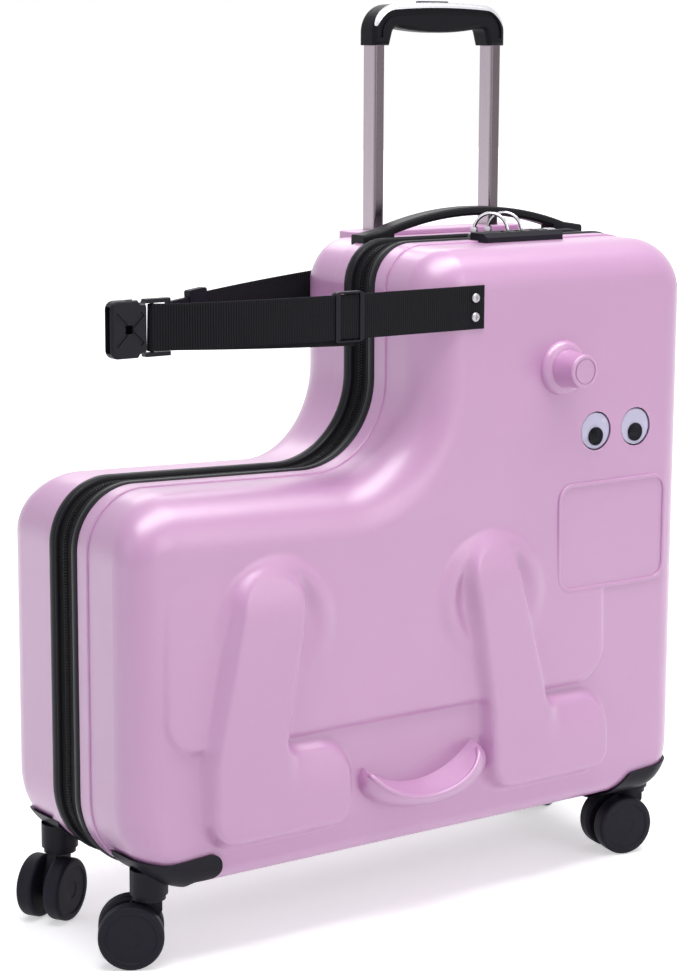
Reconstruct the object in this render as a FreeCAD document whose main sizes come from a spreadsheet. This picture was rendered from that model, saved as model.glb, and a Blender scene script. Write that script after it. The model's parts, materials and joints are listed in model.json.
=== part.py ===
import FreeCAD, Part
import math
import os
import re
import Sketcher
from FreeCAD import Placement, Rotation, Vector

# Ride-on suitcase. Millimetres, +Z up, +X towards the tall head end, zip plane at y = 0, floor at z = 0.
# Every length below is a cell of the sheet; names ending in share or shares are ratios.
SIZES = {
    # case outline
    "case_length": 600.0,
    "case_height": 515.0,
    "ground_gap": 65.5,
    "tall_length": 300.0,
    "seat_rear": 331.0,
    "seat_front": 321.0,
    "half_depth": 104.0,
    "wall": 3.0,
    "corner_heel": 70.0,
    "corner_toe": 45.0,
    "corner_crown": 50.0,
    "corner_nape": 38.0,
    "corner_neck": 75.0,
    "corner_rump": 53.0,
    "round_bottom": 14.0,
    "round_end": 28.0,
    "round_seat": 46.0,
    "round_neck": 38.0,
    "round_top": 34.0,
    # rim, piping, zip tape
    "rim_start": 23.0,
    "lip_end": 38.0,
    "lip_step": 1.6,
    "lip_round": 1.4,
    "piping_inner": 11.0,
    "piping_outset": 1.6,
    "piping_inset": 3.4,
    "piping_round": 2.2,
    "tape_gap": 0.3,
    "tape_inset": 2.4,
    "tape_thick": 1.2,
    "coil_width": 2.6,
    "coil_raise": 1.4,
    "lining_gap": 0.4,
    "lining_thick": 1.2,
    "lining_start": 24.0,
    "cut_over": 2.0,
    # belly panel
    "belly_from_rear": 45.0,
    "belly_from_front": 98.0,
    "belly_lift": 115.0,
    "belly_high": 149.5,
    "belly_raise": 4.2,
    "belly_corner": 33.0,
    "belly_deep": 9.0,
    "belly_round": 6.0,
    "root_depth": 1.0,
    # legs and hip arches
    "leg_foot": 143.0,
    "leg_rise": 228.0,
    "leg_raise": 17.0,
    "leg_round": 11.5,
    "leg_run": 5.0,
    "knee_fall": 28.0,
    "knee_ease": 10.0,
    "sole_lift": 33.0,
    "heel_from_rear": 70.0,
    "heel_from_front": 240.0,
    "arch_ring": 49.0,
    "arch_tube": 19.0,
    "arch_sink": 15.0,
    "arch_tilt": 6.5,
    "arch_rear_ahead": 71.0,
    "arch_front_ahead": 10.0,
    "arch_rear_lift": 211.5,
    "arch_front_lift": 208.5,
    # horn grips
    "horn_from_front": 153.3,
    "horn_from_top": 109.5,
    "horn_height": 31.0,
    "horn_base": 24.5,
    "horn_flare": 7.4,
    "horn_tip": 14.9,
    "horn_tip_round": 2.2,
    "horn_ring_outer": 11.6,
    "horn_ring_inner": 10.4,
    "horn_ring_deep": 0.7,
    # footrests
    "rest_x": 5.5,
    "rest_lift": 64.0,
    "rest_half": 68.0,
    "rest_out": 30.5,
    "rest_drop": 31.0,
    "rest_top": 90.0,
    "rest_top_x": 13.8,
    "rest_top_lift": 151.5,
    "rest_draft": 20.0,
    # bare framed panel
    "panel_from_front": 90.5,
    "panel_from_top": 265.0,
    "panel_length": 129.0,
    "panel_height": 100.0,
    "panel_corner": 16.0,
    "panel_bead": 3.6,
    "panel_raise": 1.8,
    # eyes
    "eye_rear_from_front": 112.0,
    "eye_front_from_front": 64.7,
    "eye_from_top": 169.5,
    "eye_socket": 17.6,
    "eye_socket_deep": 2.0,
    "eye_radius": 17.2,
    "eye_back_thick": 0.8,
    "eye_wall": 0.9,
    "eye_side": 1.8,
    "eye_dome": 1.6,
    "pupil_radius": 8.3,
    "pupil_thick": 1.0,
    "pupil_low": 5.0,
    "pupil_gap": 0.35,
    # trolley
    "trolley_offset": 6.5,
    "trolley_y": 84.0,
    "trolley_spread": 135.0,
    "tube_length_x": 11.5,
    "tube_length_y": 18.5,
    "tube_wall": 1.0,
    "tube_corner": 2.2,
    "tube_slack": 0.35,
    "outer_wall": 1.2,
    "seat_slack": 0.15,
    "tube_length": 492.5,
    "tube_in_grip": 12.0,
    "grip_lift": 170.0,
    "grip_tall": 38.5,
    "grip_length": 152.0,
    "grip_socket": 18.5,
    "grip_shoulder": 23.0,
    "grip_bar": 22.0,
    "grip_crown": 4.0,
    "grip_belly": 5.0,
    "grip_inner_round": 6.0,
    "grip_depth": 25.0,
    "grip_corner": 25.0,
    "grip_soft": 5.0,
    "trim_width": 4.0,
    "trim_deep": 1.4,
    "trim_inset": 5.5,
    "trim_leg": 27.5,
    "trim_proud": 0.4,
    "button_length": 34.0,
    "button_width": 10.0,
    "button_high": 9.0,
    "button_proud": 1.6,
    "button_travel": 4.0,
    "button_slack": 0.4,
    "button_corner": 4.0,
    "bezel_length": 196.0,
    "bezel_depth": 33.0,
    "bezel_low": 20.0,
    "bezel_high": 3.0,
    "bezel_corner": 9.0,
    "bezel_soft": 1.8,
    "foot_length": 168.0,
    "foot_depth": 27.0,
    "foot_high": 24.0,
    "foot_floor": 8.0,
    "foot_bevel": 9.0,
    # carry handle
    "carry_y": 33.5,
    "carry_rear_inset": 22.0,
    "carry_front_inset": 23.0,
    "carry_pad": 34.0,
    "carry_pad_high": 7.0,
    "carry_width": 19.0,
    "carry_thick": 8.0,
    "carry_arch_radius": 330.0,
    "carry_soft": 2.6,
    "carry_sink": 26.0,
    # lock, sliders, pulls
    "lock_offset": 2.0,
    "lock_length": 90.0,
    "lock_start": 24.5,
    "lock_width": 24.0,
    "lock_sunk": 4.0,
    "lock_high": 12.4,
    "lock_bevel": 4.0,
    "lock_soft": 1.2,
    "lock_slack": 0.3,
    "tray_wall": 2.6,
    "dial_radius": 5.2,
    "dial_width": 5.0,
    "dial_pitch": 16.6,
    "dial_from_zip": 39.0,
    "dial_proud": 0.9,
    "dial_slack": 0.4,
    "dial_pin": 1.5,
    "dial_fit": 0.05,
    "release_offset": 35.0,
    "release_length": 9.0,
    "release_width": 7.0,
    "release_high": 5.0,
    "release_proud": 1.2,
    "release_travel": 2.0,
    "slider_rear_offset": 20.0,
    "slider_front_offset": 4.0,
    "slider_length": 9.0,
    "slider_width": 10.0,
    "slider_high": 3.4,
    "slider_clear": 0.4,
    "pull_reach_x": 18.0,
    "pull_reach_y": 25.5,
    "pull_wire": 1.6,
    "pull_eye": 2.6,
    "pull_eye_length": 3.6,
    "pull_pin": 1.0,
    "pull_pin_fit": 0.06,
    "cheek_thick": 1.0,
    "cheek_gap": 0.4,
    "pull_slot": 7.0,
    "pull_slot_deep": 6.0,
    # belts
    "web_width": 37.5,
    "web_thick": 1.7,
    "web_gap": 0.25,
    "belt_from_top": 50.0,
    "belt_end_inset": 56.0,
    "belt_screw_inset": 45.5,
    "belt_screw_pitch": 16.4,
    "belt_straight_reach": 104.0,
    "belt_reach": 262.0,
    "belt_in": 21.0,
    "tail_length": 186.0,
    "tail_droop": 2.0,
    "loop_radius": 3.9,
    "far_belt_reach": 157.5,
    "far_belt_in": 18.0,
    "far_belt_droop": 5.0,
    "adjuster_reach": 86.5,
    "adjuster_length": 29.0,
    "adjuster_width": 42.0,
    "adjuster_thick": 6.4,
    "adjuster_slot": 8.0,
    "adjuster_bar": 4.0,
    "buckle_length": 57.0,
    "buckle_width": 46.0,
    "buckle_thick": 12.0,
    "buckle_body": 33.0,
    "buckle_frame_thick": 7.0,
    "buckle_slot": 7.4,
    "buckle_bar": 3.4,
    "buckle_soft": 2.4,
    "buckle_corner": 7.0,
    "buckle_notch": 4.2,
    "buckle_mouth_width": 37.0,
    "buckle_mouth_thick": 7.0,
    "buckle_emboss": 1.0,
    "plug_frame": 22.0,
    "plug_reach": 26.0,
    "plug_prong": 6.0,
    "plug_thick": 5.0,
    "screw_head": 4.2,
    "screw_head_high": 2.4,
    "screw_shank": 2.0,
    "screw_slack": 0.15,
    "screw_slot": 1.0,
    "plate_length": 22.0,
    "plate_height": 34.0,
    "plate_thick": 1.6,
    # hinge
    "hinge_out": 3.2,
    "hinge_cord": 2.6,
    "hinge_lift": 84.5,
    "hinge_from_top": 80.5,
    "hinge_web": 1.6,
    # casters
    "caster_inset": 34.0,
    "caster_y": 75.0,
    "fit_gap": 0.25,
    "bracket_thick": 3.0,
    "bracket_from_zip": 45.0,
    "bracket_length": 90.5,
    "bracket_rise": 33.0,
    "bracket_boss": 16.0,
    "bracket_boss_low": 60.6,
    "pin_radius": 4.0,
    "pin_fit": 0.06,
    "pin_high": 5.6,
    "cap_radius": 14.0,
    "cap_gap": 0.5,
    "cap_high": 4.2,
    "trail": 15.0,
    "web_plate": 9.0,
    "web_plate_reach": 11.0,
    "hub_boss": 9.5,
    "wheel_radius": 27.5,
    "wheel_width": 15.5,
    "wheel_gap": 1.0,
    "wheel_soft": 3.4,
    "wheel_face_ring": 21.5,
    "wheel_face_step": 0.9,
    "wheel_hub": 8.0,
    "wheel_hub_deep": 1.4,
    "axle_radius": 2.5,
    "axle_fit": 0.05,
    "swivel_near_rear": -31.0,
    "swivel_near_front": -11.0,
    "swivel_far_rear": 31.0,
    "swivel_far_front": 211.0,
}

# Places worked out from the sizes, each measured from the end, neck, floor or top that carries it.
PLACES = {
    "case_top": "ground_gap+case_height",
    "neck_x": "case_length/2-tall_length",
    "head_x": "case_length/2-tall_length/2",
    "belly_rear": "case_length/2-belly_from_rear",
    "belly_front": "case_length/2-belly_from_front",
    "belly_bottom": "ground_gap+belly_lift",
    "leg_sole": "ground_gap+sole_lift",
    "leg_rear_heel": "case_length/2-heel_from_rear",
    "leg_front_heel": "case_length/2-heel_from_front",
    "arch_rear_x": "leg_rear_heel-arch_rear_ahead",
    "arch_front_x": "leg_front_heel+arch_front_ahead",
    "arch_rear_z": "ground_gap+arch_rear_lift",
    "arch_front_z": "ground_gap+arch_front_lift",
    "horn_x": "case_length/2-horn_from_front",
    "horn_z": "case_top-horn_from_top",
    "rest_z": "ground_gap+rest_lift",
    "rest_top_z": "ground_gap+rest_top_lift",
    "panel_x": "case_length/2-panel_from_front",
    "panel_z": "case_top-panel_from_top",
    "eye_rear_x": "case_length/2-eye_rear_from_front",
    "eye_front_x": "case_length/2-eye_front_from_front",
    "eye_z": "case_top-eye_from_top",
    "trolley_x": "head_x-trolley_offset",
    "grip_low": "case_top+grip_lift",
    "grip_high": "grip_low+grip_tall",
    "tube_low": "grip_low-tube_length",
    "carry_rear": "neck_x+carry_rear_inset",
    "carry_front": "case_length/2-carry_front_inset",
    "lock_x": "head_x-lock_offset",
    "slider_rear_x": "lock_x-slider_rear_offset",
    "slider_front_x": "lock_x-slider_front_offset",
    "belt_z": "case_top-belt_from_top",
    "belt_end_x": "neck_x+belt_end_inset",
    "belt_screw_x": "neck_x+belt_screw_inset",
    "belt_straight_x": "belt_straight_reach-neck_x",
    "belt_left_x": "belt_reach-neck_x",
    "adjuster_x": "adjuster_reach-neck_x",
    "hinge_low": "ground_gap+hinge_lift",
    "hinge_high": "case_top-hinge_from_top",
}

# Outlines of the two legs: shares of the foot's length and of the leg's rise, then the corner's radius.
LEG_REAR_SHARES = [
    (0.238, 1.0, 0.215),
    (0.713, 1.0, 0.215),
    (0.538, 0.328, 0.06),
    (0.993, 0.32, 0.21),
    (1.0, 0.0, 0.14),
    (0.0, 0.0, 0.18),
    (0.0, 0.315, 0.28),
]
LEG_FRONT_SHARES = [
    (-0.175, 0.99, 0.17),
    (0.19, 0.99, 0.17),
    (0.483, 0.324, 0.06),
    (0.98, 0.32, 0.21),
    (0.99, 0.0, 0.14),
    (0.028, 0.0, 0.18),
    (0.0, 0.33, 0.28),
]

doc = FreeCAD.newDocument("RideOnSuitcase")
sheet = doc.addObject("Spreadsheet::Sheet", "Sizes")
for row, (alias, value) in enumerate(SIZES.items(), 1):
    sheet.set(f"A{row}", alias)
    sheet.set(f"B{row}", str(value))
    sheet.setAlias(f"B{row}", alias)
probe = doc.addObject("App::DocumentObjectGroup", "Probe")
doc.recompute()

nodes = {}


def cells(expression):
    """Turns the names in an expression into the sheet's cells, and a place into its own expression."""

    def cell(found):
        name = found.group()
        if name in PLACES:
            return f"({cells(PLACES[name])})"
        return "Sizes." + name if name in SIZES else name

    return re.sub(r"[a-z][a-z_]*[a-z]", cell, str(expression))


def number(expression):
    """The value of an expression of sizes."""
    return float(probe.evalExpression(cells(expression)))


def bind(item, prop, expression):
    item.setExpression(prop, cells(expression))


def place(item, x="0", y="0", z="0", axis=None, angle="0"):
    """Sets an object's place from expressions of sizes, and its turn from an axis and an angle."""
    if axis is not None:
        item.Placement = Placement(Vector(0, 0, 0), Rotation(Vector(*axis), number(angle)))
    for key, expression in (("x", x), ("y", y), ("z", z)):
        bind(item, "Placement.Base." + key, expression)
    return item


def box(name, length, width, height, x, y, z, axis=None, angle="0"):
    item = doc.addObject("Part::Box", name)
    bind(item, "Length", length)
    bind(item, "Width", width)
    bind(item, "Height", height)
    return place(item, x, y, z, axis, angle)


def cylinder(name, radius, height, x, y, z, axis=None, angle="0"):
    item = doc.addObject("Part::Cylinder", name)
    bind(item, "Radius", radius)
    bind(item, "Height", height)
    return place(item, x, y, z, axis, angle)


def fuse(name, items):
    item = doc.addObject("Part::MultiFuse", name)
    item.Shapes = items
    return item


def add_on(name, base, tool):
    item = doc.addObject("Part::Fuse", name)
    item.Base = base
    item.Tool = tool
    return item


def cut(name, base, tool):
    item = doc.addObject("Part::Cut", name)
    item.Base = base
    item.Tool = tool
    return item


def common(name, first, second):
    item = doc.addObject("Part::MultiCommon", name)
    item.Shapes = [first, second]
    return item


def group(name, items):
    item = doc.addObject("Part::Compound", name)
    item.Links = items
    return item


def mirror(name, source, normal=(0, 1, 0)):
    item = doc.addObject("Part::Mirroring", name)
    item.Source = source
    item.Normal = Vector(*normal)
    item.Base = Vector(0, 0, 0)
    return item


def turned(name, source, x="0", y="0", z="0", axis=(0, 0, 1), angle="0"):
    """A moved and turned copy of another object, kept linked to it."""
    item = doc.addObject("Part::Compound", name)
    item.Links = [source]
    return place(item, x, y, z, axis, angle)


def round_edges(name, base, choose, radius):
    """Rounds the edges that choose picks; radius is an expression, or a function of the edge."""
    doc.recompute()
    item = doc.addObject("Part::Fillet", name)
    item.Base = base
    picked = []
    for index, edge in enumerate(base.Shape.Edges, 1):
        if choose(edge):
            value = radius(edge) if callable(radius) else number(radius)
            picked.append((index, value, value))
    item.Edges = picked
    doc.recompute()
    return item


def middle(edge):
    return edge.valueAt((edge.FirstParameter + edge.LastParameter) / 2)


def runs_along(edge, axis):
    """True for a straight edge parallel to the axis."""
    if edge.Curve.TypeId != "Part::GeomLine":
        return False
    way = edge.Vertexes[-1].Point - edge.Vertexes[0].Point
    return abs(abs(way.normalize().dot(Vector(*axis))) - 1) < 1e-6


def across(edge):
    return runs_along(edge, (0, 1, 0))


def upright(edge):
    return runs_along(edge, (0, 0, 1))


def new_body(name):
    return doc.addObject("PartDesign::Body", name)


def origin(body, role):
    return next(item for item in body.Origin.OriginFeatures if item.Role == role)


def outline(body, name, role, *loops):
    """A sketch of closed loops. A vertex is (u, v), or (u, v, radius, side) when an arc runs to the next one.

    The side is 1 with the arc's centre on the left of the way to the next vertex and -1 on the right.
    """
    sketch = body.newObject("Sketcher::SketchObject", name)
    sketch.AttachmentSupport = [(origin(body, role), "")]
    sketch.MapMode = "FlatFace"
    for loop in loops:
        points = [Vector(number(vertex[0]), number(vertex[1]), 0) for vertex in loop]
        ends = []
        for index, vertex in enumerate(loop):
            first = points[index]
            last = points[(index + 1) % len(loop)]
            if len(vertex) == 2:
                line = sketch.addGeometry(Part.LineSegment(first, last), False)
                ends.append((line, 1, 2))
                continue
            radius = number(vertex[2])
            chord = last - first
            left = Vector(-chord.y, chord.x, 0).normalize() * vertex[3]
            reach = math.sqrt(max(radius**2 - chord.Length**2 / 4, 0.0))
            centre = (first + last) * 0.5 + left * reach
            begin, stop = (first, last) if vertex[3] > 0 else (last, first)
            angles = [math.atan2(p.y - centre.y, p.x - centre.x) for p in (begin, stop)]
            circle = Part.Circle(centre, Vector(0, 0, 1), radius)
            arc = sketch.addGeometry(Part.ArcOfCircle(circle, angles[0], angles[1]), False)
            ends.append((arc, 1, 2) if vertex[3] > 0 else (arc, 2, 1))
        for index, vertex in enumerate(loop):
            after = ends[(index + 1) % len(loop)]
            sketch.addConstraint(
                Sketcher.Constraint("Coincident", ends[index][0], ends[index][2], after[0], after[1])
            )
            for kind, value, expression in (
                ("DistanceX", points[index].x, vertex[0]),
                ("DistanceY", points[index].y, vertex[1]),
            ):
                held = sketch.addConstraint(
                    Sketcher.Constraint(kind, -1, 1, ends[index][0], ends[index][1], value)
                )
                sketch.setExpression(f"Constraints[{held}]", cells(expression))
            if len(vertex) == 4:
                held = sketch.addConstraint(
                    Sketcher.Constraint("Radius", ends[index][0], number(vertex[2]))
                )
                sketch.setExpression(f"Constraints[{held}]", cells(vertex[2]))
    return sketch


def pad(body, name, sketch, length):
    item = body.newObject("PartDesign::Pad", name)
    item.Profile = sketch
    bind(item, "Length", length)
    doc.recompute()
    return item


def revolve(body, name, sketch, role):
    item = body.newObject("PartDesign::Revolution", name)
    item.Profile = sketch
    item.ReferenceAxis = (origin(body, role), [""])
    item.Angle = 360
    doc.recompute()
    return item


def extrusion(name, role, loops, length, x="0", y="0", z="0", axis=None, angle="0"):
    """A body padded from one sketch."""
    body = new_body(name)
    pad(body, name + "Pad", outline(body, name + "Outline", role, *loops), length)
    return place(body, x, y, z, axis, angle)


def rectangle(left, low, right, high):
    return [(left, low), (right, low), (right, high), (left, high)]


def node(label, item):
    item.Label = label
    nodes[label] = item


# The case's outline, offset inwards by an inset, with each corner and its radius.
def case_corners(inset):
    return [
        (f"-case_length/2+({inset})", f"ground_gap+({inset})", f"corner_heel-({inset})"),
        (f"case_length/2-({inset})", f"ground_gap+({inset})", f"corner_toe-({inset})"),
        (f"case_length/2-({inset})", f"ground_gap+case_height-({inset})", f"corner_crown-({inset})"),
        (
            f"case_length/2-tall_length+({inset})",
            f"ground_gap+case_height-({inset})",
            f"corner_nape-({inset})",
        ),
        (
            f"case_length/2-tall_length+({inset})",
            f"ground_gap+seat_front-({inset})",
            f"corner_neck+({inset})",
        ),
        (f"-case_length/2+({inset})", f"ground_gap+seat_rear-({inset})", f"corner_rump-({inset})"),
    ]


def case_slab(name, inset, start, end):
    """The outline padded away from the zip plane, with its corners rounded."""
    corners = case_corners(inset)
    body = new_body(name)
    sketch = outline(body, name + "Outline", "XZ_Plane", [(x, z) for x, z, radius in corners])
    last = pad(body, name + "Pad", sketch, f"({end})-({start})")
    for index, (x, z, radius) in enumerate(corners):
        at_x, at_z = number(x), number(z)
        names = []
        for count, edge in enumerate(last.Shape.Edges, 1):
            ends = [vertex.Point for vertex in edge.Vertexes]
            if all(abs(p.x - at_x) + abs(p.z - at_z) < 0.01 for p in ends):
                names.append(f"Edge{count}")
        rounding = body.newObject("PartDesign::Fillet", f"{name}Corner{index}")
        rounding.Base = (last, names)
        bind(rounding, "Radius", radius)
        doc.recompute()
        last = rounding
    place(body, y=f"-({start})")
    doc.recompute()
    return body


def case_blank(name, inset, start, grow):
    """A slab whose side edge is rounded, each wall with its own radius, blended along the corners."""
    slab = case_slab(name + "Slab", inset, start, f"half_depth+({grow})")
    solid = slab.Shape
    side = min(solid.Faces, key=lambda face: face.CenterOfMass.y)
    low = number(f"ground_gap+({inset})")
    high = number(f"ground_gap+case_height-({inset})")
    end = number(f"case_length/2-({inset})")
    neck = number(f"case_length/2-tall_length+({inset})")

    def wall_radius(edge):
        at = middle(edge)
        if abs(at.z - low) < 0.01:
            kind = "round_bottom"
        elif abs(at.z - high) < 0.01:
            kind = "round_top"
        elif abs(abs(at.x) - end) < 0.01:
            kind = "round_end"
        elif abs(at.x - neck) < 0.01:
            kind = "round_neck"
        else:
            kind = "round_seat"
        return number(f"{kind}+({grow})")

    walls = [edge for edge in side.Edges if edge.Curve.TypeId == "Part::GeomLine"]

    def radius_at(point):
        for edge in walls:
            if any(vertex.Point.distanceToPoint(point) < 0.01 for vertex in edge.Vertexes):
                return wall_radius(edge)
        raise ValueError("no wall ends here")

    rounding = doc.addObject("Part::Fillet", name)
    rounding.Base = slab
    for swap in (True, False):
        picked = []
        for index, edge in enumerate(solid.Edges, 1):
            if not any(edge.isSame(other) for other in side.Edges):
                continue
            if edge.Curve.TypeId == "Part::GeomLine":
                radii = [wall_radius(edge)] * 2
            else:
                radii = [radius_at(edge.valueAt(p)) for p in (edge.FirstParameter, edge.LastParameter)]
                if (edge.Orientation == "Reversed") != swap:
                    radii.reverse()
            picked.append((index, radii[0], radii[1]))
        rounding.Edges = picked
        doc.recompute()
        if rounding.Shape.BoundBox.XLength < solid.BoundBox.XLength + 0.01:
            break
    return rounding


# Half shell: the rounded blank, its rim lip and the raised forms, hollowed by a smaller blank.
shell_blank = case_blank("ShellBlank", "lip_step", "rim_start", "0")
cavity = case_blank("Cavity", "lip_step+wall", "rim_start-cut_over", "-wall")
rim_slab = case_slab("RimSlab", "0", "rim_start", "lip_end")


def at_depth(y):
    """Picks the edges that lie wholly in one plane across the case's depth."""
    level = number(y)
    return lambda edge: all(abs(v.Point.y - level) < 0.01 for v in edge.Vertexes) and abs(
        middle(edge).y - level
    ) < 0.01


rim = round_edges("Rim", rim_slab, at_depth("-lip_end"), "lip_round")

# Belly panel: a rounded plate that leans, so that its edge fades out towards the top.
belly_flat = extrusion(
    "BellyOutline",
    "XZ_Plane",
    [rectangle("-belly_rear", "0", "belly_front", "belly_high")],
    "belly_deep",
)
belly_corners = round_edges(
    "BellyCorners",
    belly_flat,
    lambda edge: across(edge) and abs(middle(edge).z) < 0.01,
    "belly_corner",
)
belly_soft = round_edges("BellySoft", belly_corners, at_depth("-belly_deep"), "belly_round")
belly = turned(
    "Belly",
    belly_soft,
    "0",
    "-half_depth-belly_raise+belly_deep",
    "belly_bottom",
    (1, 0, 0),
    "-atan(belly_raise/belly_high)",
)


def corner_radii(points, radii, scale):
    """For an edge across the depth, the radius of the outline's corner that it stands on."""
    places = [(number(x), number(z), radius * number(scale)) for (x, z), radius in zip(points, radii)]

    def radius_of(edge):
        at = middle(edge)
        return min(places, key=lambda spot: abs(spot[0] - at.x) + abs(spot[1] - at.z))[2]

    return radius_of


def sloped(name, body, left, top, fall, ease):
    """Takes a slope off a leg's crown, from a line across it up to an edge that faces upwards."""
    block = box(name + "Block", "2*leg_foot", "2*leg_raise", f"2*{fall}", "0", "-2*leg_raise", "0")
    slope = turned(
        name + "Slope",
        block,
        left,
        "-half_depth-leg_raise",
        f"{top}-{fall}",
        (1, 0, 0),
        f"-atan({ease}/{fall})",
    )
    return cut(name, body, slope)


def leg(name, shares, heel):
    """A raised leg with a rounded crown; its walls run out into a plate that lies inside the shell's wall."""
    points = [
        (f"-({heel})+{x}*leg_foot", f"leg_sole+{z}*leg_rise") for x, z, radius in shares
    ]
    body = extrusion(
        name + "Outline",
        "XZ_Plane",
        [points],
        "root_depth+leg_raise",
        y="-half_depth+root_depth",
    )
    radius_of = corner_radii(points, [radius for x, z, radius in shares], "leg_foot")
    corners = round_edges(name + "Corners", body, across, radius_of)
    crown = round_edges(name + "Crown", corners, at_depth("-half_depth-leg_raise"), "leg_round")
    left = min(x for x, z, radius in shares)
    right = max(x for x, z, radius in shares)
    knee_top = points[0][1]
    knee = sloped(name + "Knee", crown, f"-({heel})-leg_foot", knee_top, "knee_fall", "knee_ease")
    plate = box(
        name + "Plate",
        f"({right}-({left}))*leg_foot+4*leg_run",
        "root_depth",
        "leg_rise+4*leg_run",
        f"-({heel})+({left})*leg_foot-2*leg_run",
        "-half_depth",
        "leg_sole-2*leg_run",
    )
    low_x = number(f"-({heel})+({left})*leg_foot-leg_run")
    high_x = number(f"-({heel})+({right})*leg_foot+leg_run")
    low_z = number("leg_sole-leg_run")
    high_z = number("leg_sole+leg_rise+leg_run")

    def round_the_leg(edge):
        at = middle(edge)
        return at_depth("-half_depth")(edge) and low_x < at.x < high_x and low_z < at.z < high_z

    return round_edges(name, fuse(name + "OnPlate", [plate, knee]), round_the_leg, "leg_run")


leg_rear = leg("LegRear", LEG_REAR_SHARES, "leg_rear_heel")
leg_front = leg("LegFront", LEG_FRONT_SHARES, "-leg_front_heel")


def arch(name, x, z):
    item = doc.addObject("Part::Torus", name)
    bind(item, "Radius1", "arch_ring")
    bind(item, "Radius2", "arch_tube")
    return place(item, x, "-half_depth+arch_sink", z, (1, 0, 0), "90+arch_tilt")


arch_rear = arch("ArchRear", "-arch_rear_x", "arch_rear_z")
arch_front = arch("ArchFront", "arch_front_x", "arch_front_z")

horn = new_body("Horn")
horn_sketch = outline(
    horn,
    "HornOutline",
    "XY_Plane",
    [
        ("0", "root_depth"),
        ("horn_base", "root_depth"),
        ("horn_base", "0", "horn_flare", -1),
        ("horn_base-horn_flare", "-horn_flare"),
        ("horn_tip", "-horn_height+horn_tip_round", "horn_tip_round", -1),
        ("horn_tip-horn_tip_round", "-horn_height"),
        ("horn_ring_outer", "-horn_height"),
        ("horn_ring_outer", "-horn_height+horn_ring_deep"),
        ("horn_ring_inner", "-horn_height+horn_ring_deep"),
        ("horn_ring_inner", "-horn_height"),
        ("0", "-horn_height"),
    ],
)
revolve(horn, "HornTurn", horn_sketch, "Y_Axis")
place(horn, "horn_x", "-half_depth", "horn_z")

rest_bulge = doc.addObject("Part::Ellipsoid", "RestBulge")
bind(rest_bulge, "Radius1", "rest_drop")
bind(rest_bulge, "Radius2", "rest_half")
bind(rest_bulge, "Radius3", "rest_out")
place(rest_bulge, "-rest_x", "-half_depth", "rest_z")
rest_scoop = cylinder(
    "RestScoop",
    "rest_top",
    "6*rest_out",
    "-rest_top_x",
    "-half_depth+2*rest_out",
    "rest_top_z+2*rest_out*tan(rest_draft)",
    (1, 0, 0),
    "90+rest_draft",
)
rest = cut("Footrest", rest_bulge, rest_scoop)

panel_outer = box(
    "PanelOuter",
    "panel_length",
    "panel_raise+root_depth",
    "panel_height",
    "panel_x-panel_length/2",
    "-half_depth-panel_raise",
    "panel_z-panel_height/2",
)
panel_inner = box(
    "PanelInner",
    "panel_length-2*panel_bead",
    "panel_raise+root_depth",
    "panel_height-2*panel_bead",
    "panel_x-panel_length/2+panel_bead",
    "-half_depth-panel_raise",
    "panel_z-panel_height/2+panel_bead",
)
panel_outer_round = round_edges("PanelOuterRound", panel_outer, across, "panel_corner")
panel_inner_round = round_edges("PanelInnerRound", panel_inner, across, "panel_corner-panel_bead")
panel_frame = cut("PanelFrame", panel_outer_round, panel_inner_round)
panel_ring = round_edges(
    "PanelBead", panel_frame, at_depth("-half_depth-panel_raise"), "panel_raise*0.7"
)

raised_forms = [belly, leg_rear, leg_front, arch_rear, arch_front, horn, panel_ring, rest]
plain_shell = cut("PlainShell", fuse("ShellBody", [shell_blank, rim]), cavity)
shell_hollow = plain_shell
for form in raised_forms:
    on_wall = cut(form.Name + "OnWall", form, cavity)
    on_wall.Refine = False
    shell_hollow = add_on(form.Name + "Joined", shell_hollow, on_wall)
face_holes = group(
    "FaceHoles",
    [
        cylinder(
            "SocketRear", "eye_socket", "half_depth", "eye_rear_x", "-half_depth+eye_socket_deep",
            "eye_z", (1, 0, 0), "90",
        ),
        cylinder(
            "SocketFront", "eye_socket", "half_depth", "eye_front_x", "-half_depth+eye_socket_deep",
            "eye_z", (1, 0, 0), "90",
        ),
        cylinder(
            "BeltHoleHigh", "screw_shank+screw_slack", "half_depth", "belt_screw_x", "-half_depth/2",
            "belt_z+belt_screw_pitch/2", (1, 0, 0), "90",
        ),
        cylinder(
            "BeltHoleLow", "screw_shank+screw_slack", "half_depth", "belt_screw_x", "-half_depth/2",
            "belt_z-belt_screw_pitch/2", (1, 0, 0), "90",
        ),
    ],
)
half_shell = cut("HalfShell", shell_hollow, face_holes)
doc.recompute()

# Linings, piping and zip tapes of one half, and their mirror images.
lining_outer = case_blank(
    "LiningOuter", "lip_step+wall+lining_gap", "lining_start", "-wall-lining_gap"
)
lining_inner = case_blank(
    "LiningInner",
    "lip_step+wall+lining_gap+lining_thick",
    "lining_start-cut_over",
    "-wall-lining_gap-lining_thick",
)
lining = cut("Lining", lining_outer, lining_inner)
piping_outer = case_slab("PipingOuter", "-piping_outset", "piping_inner", "rim_start")
piping_hole = case_slab(
    "PipingHole", "piping_inset", "piping_inner-cut_over", "rim_start+cut_over"
)
piping_soft = round_edges(
    "PipingSoft",
    piping_outer,
    lambda edge: at_depth("-piping_inner")(edge) or at_depth("-rim_start")(edge),
    "piping_round",
)
piping = cut("Piping", piping_soft, piping_hole)
tape_outer = case_slab("TapeOuter", "tape_inset", "tape_gap", "piping_inner")
coil_outer = case_slab("CoilOuter", "tape_inset-coil_raise", "tape_gap", "tape_gap+coil_width")
tape_hole = case_slab(
    "TapeHole", "tape_inset+tape_thick", "tape_gap-cut_over", "piping_inner+cut_over"
)
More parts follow.
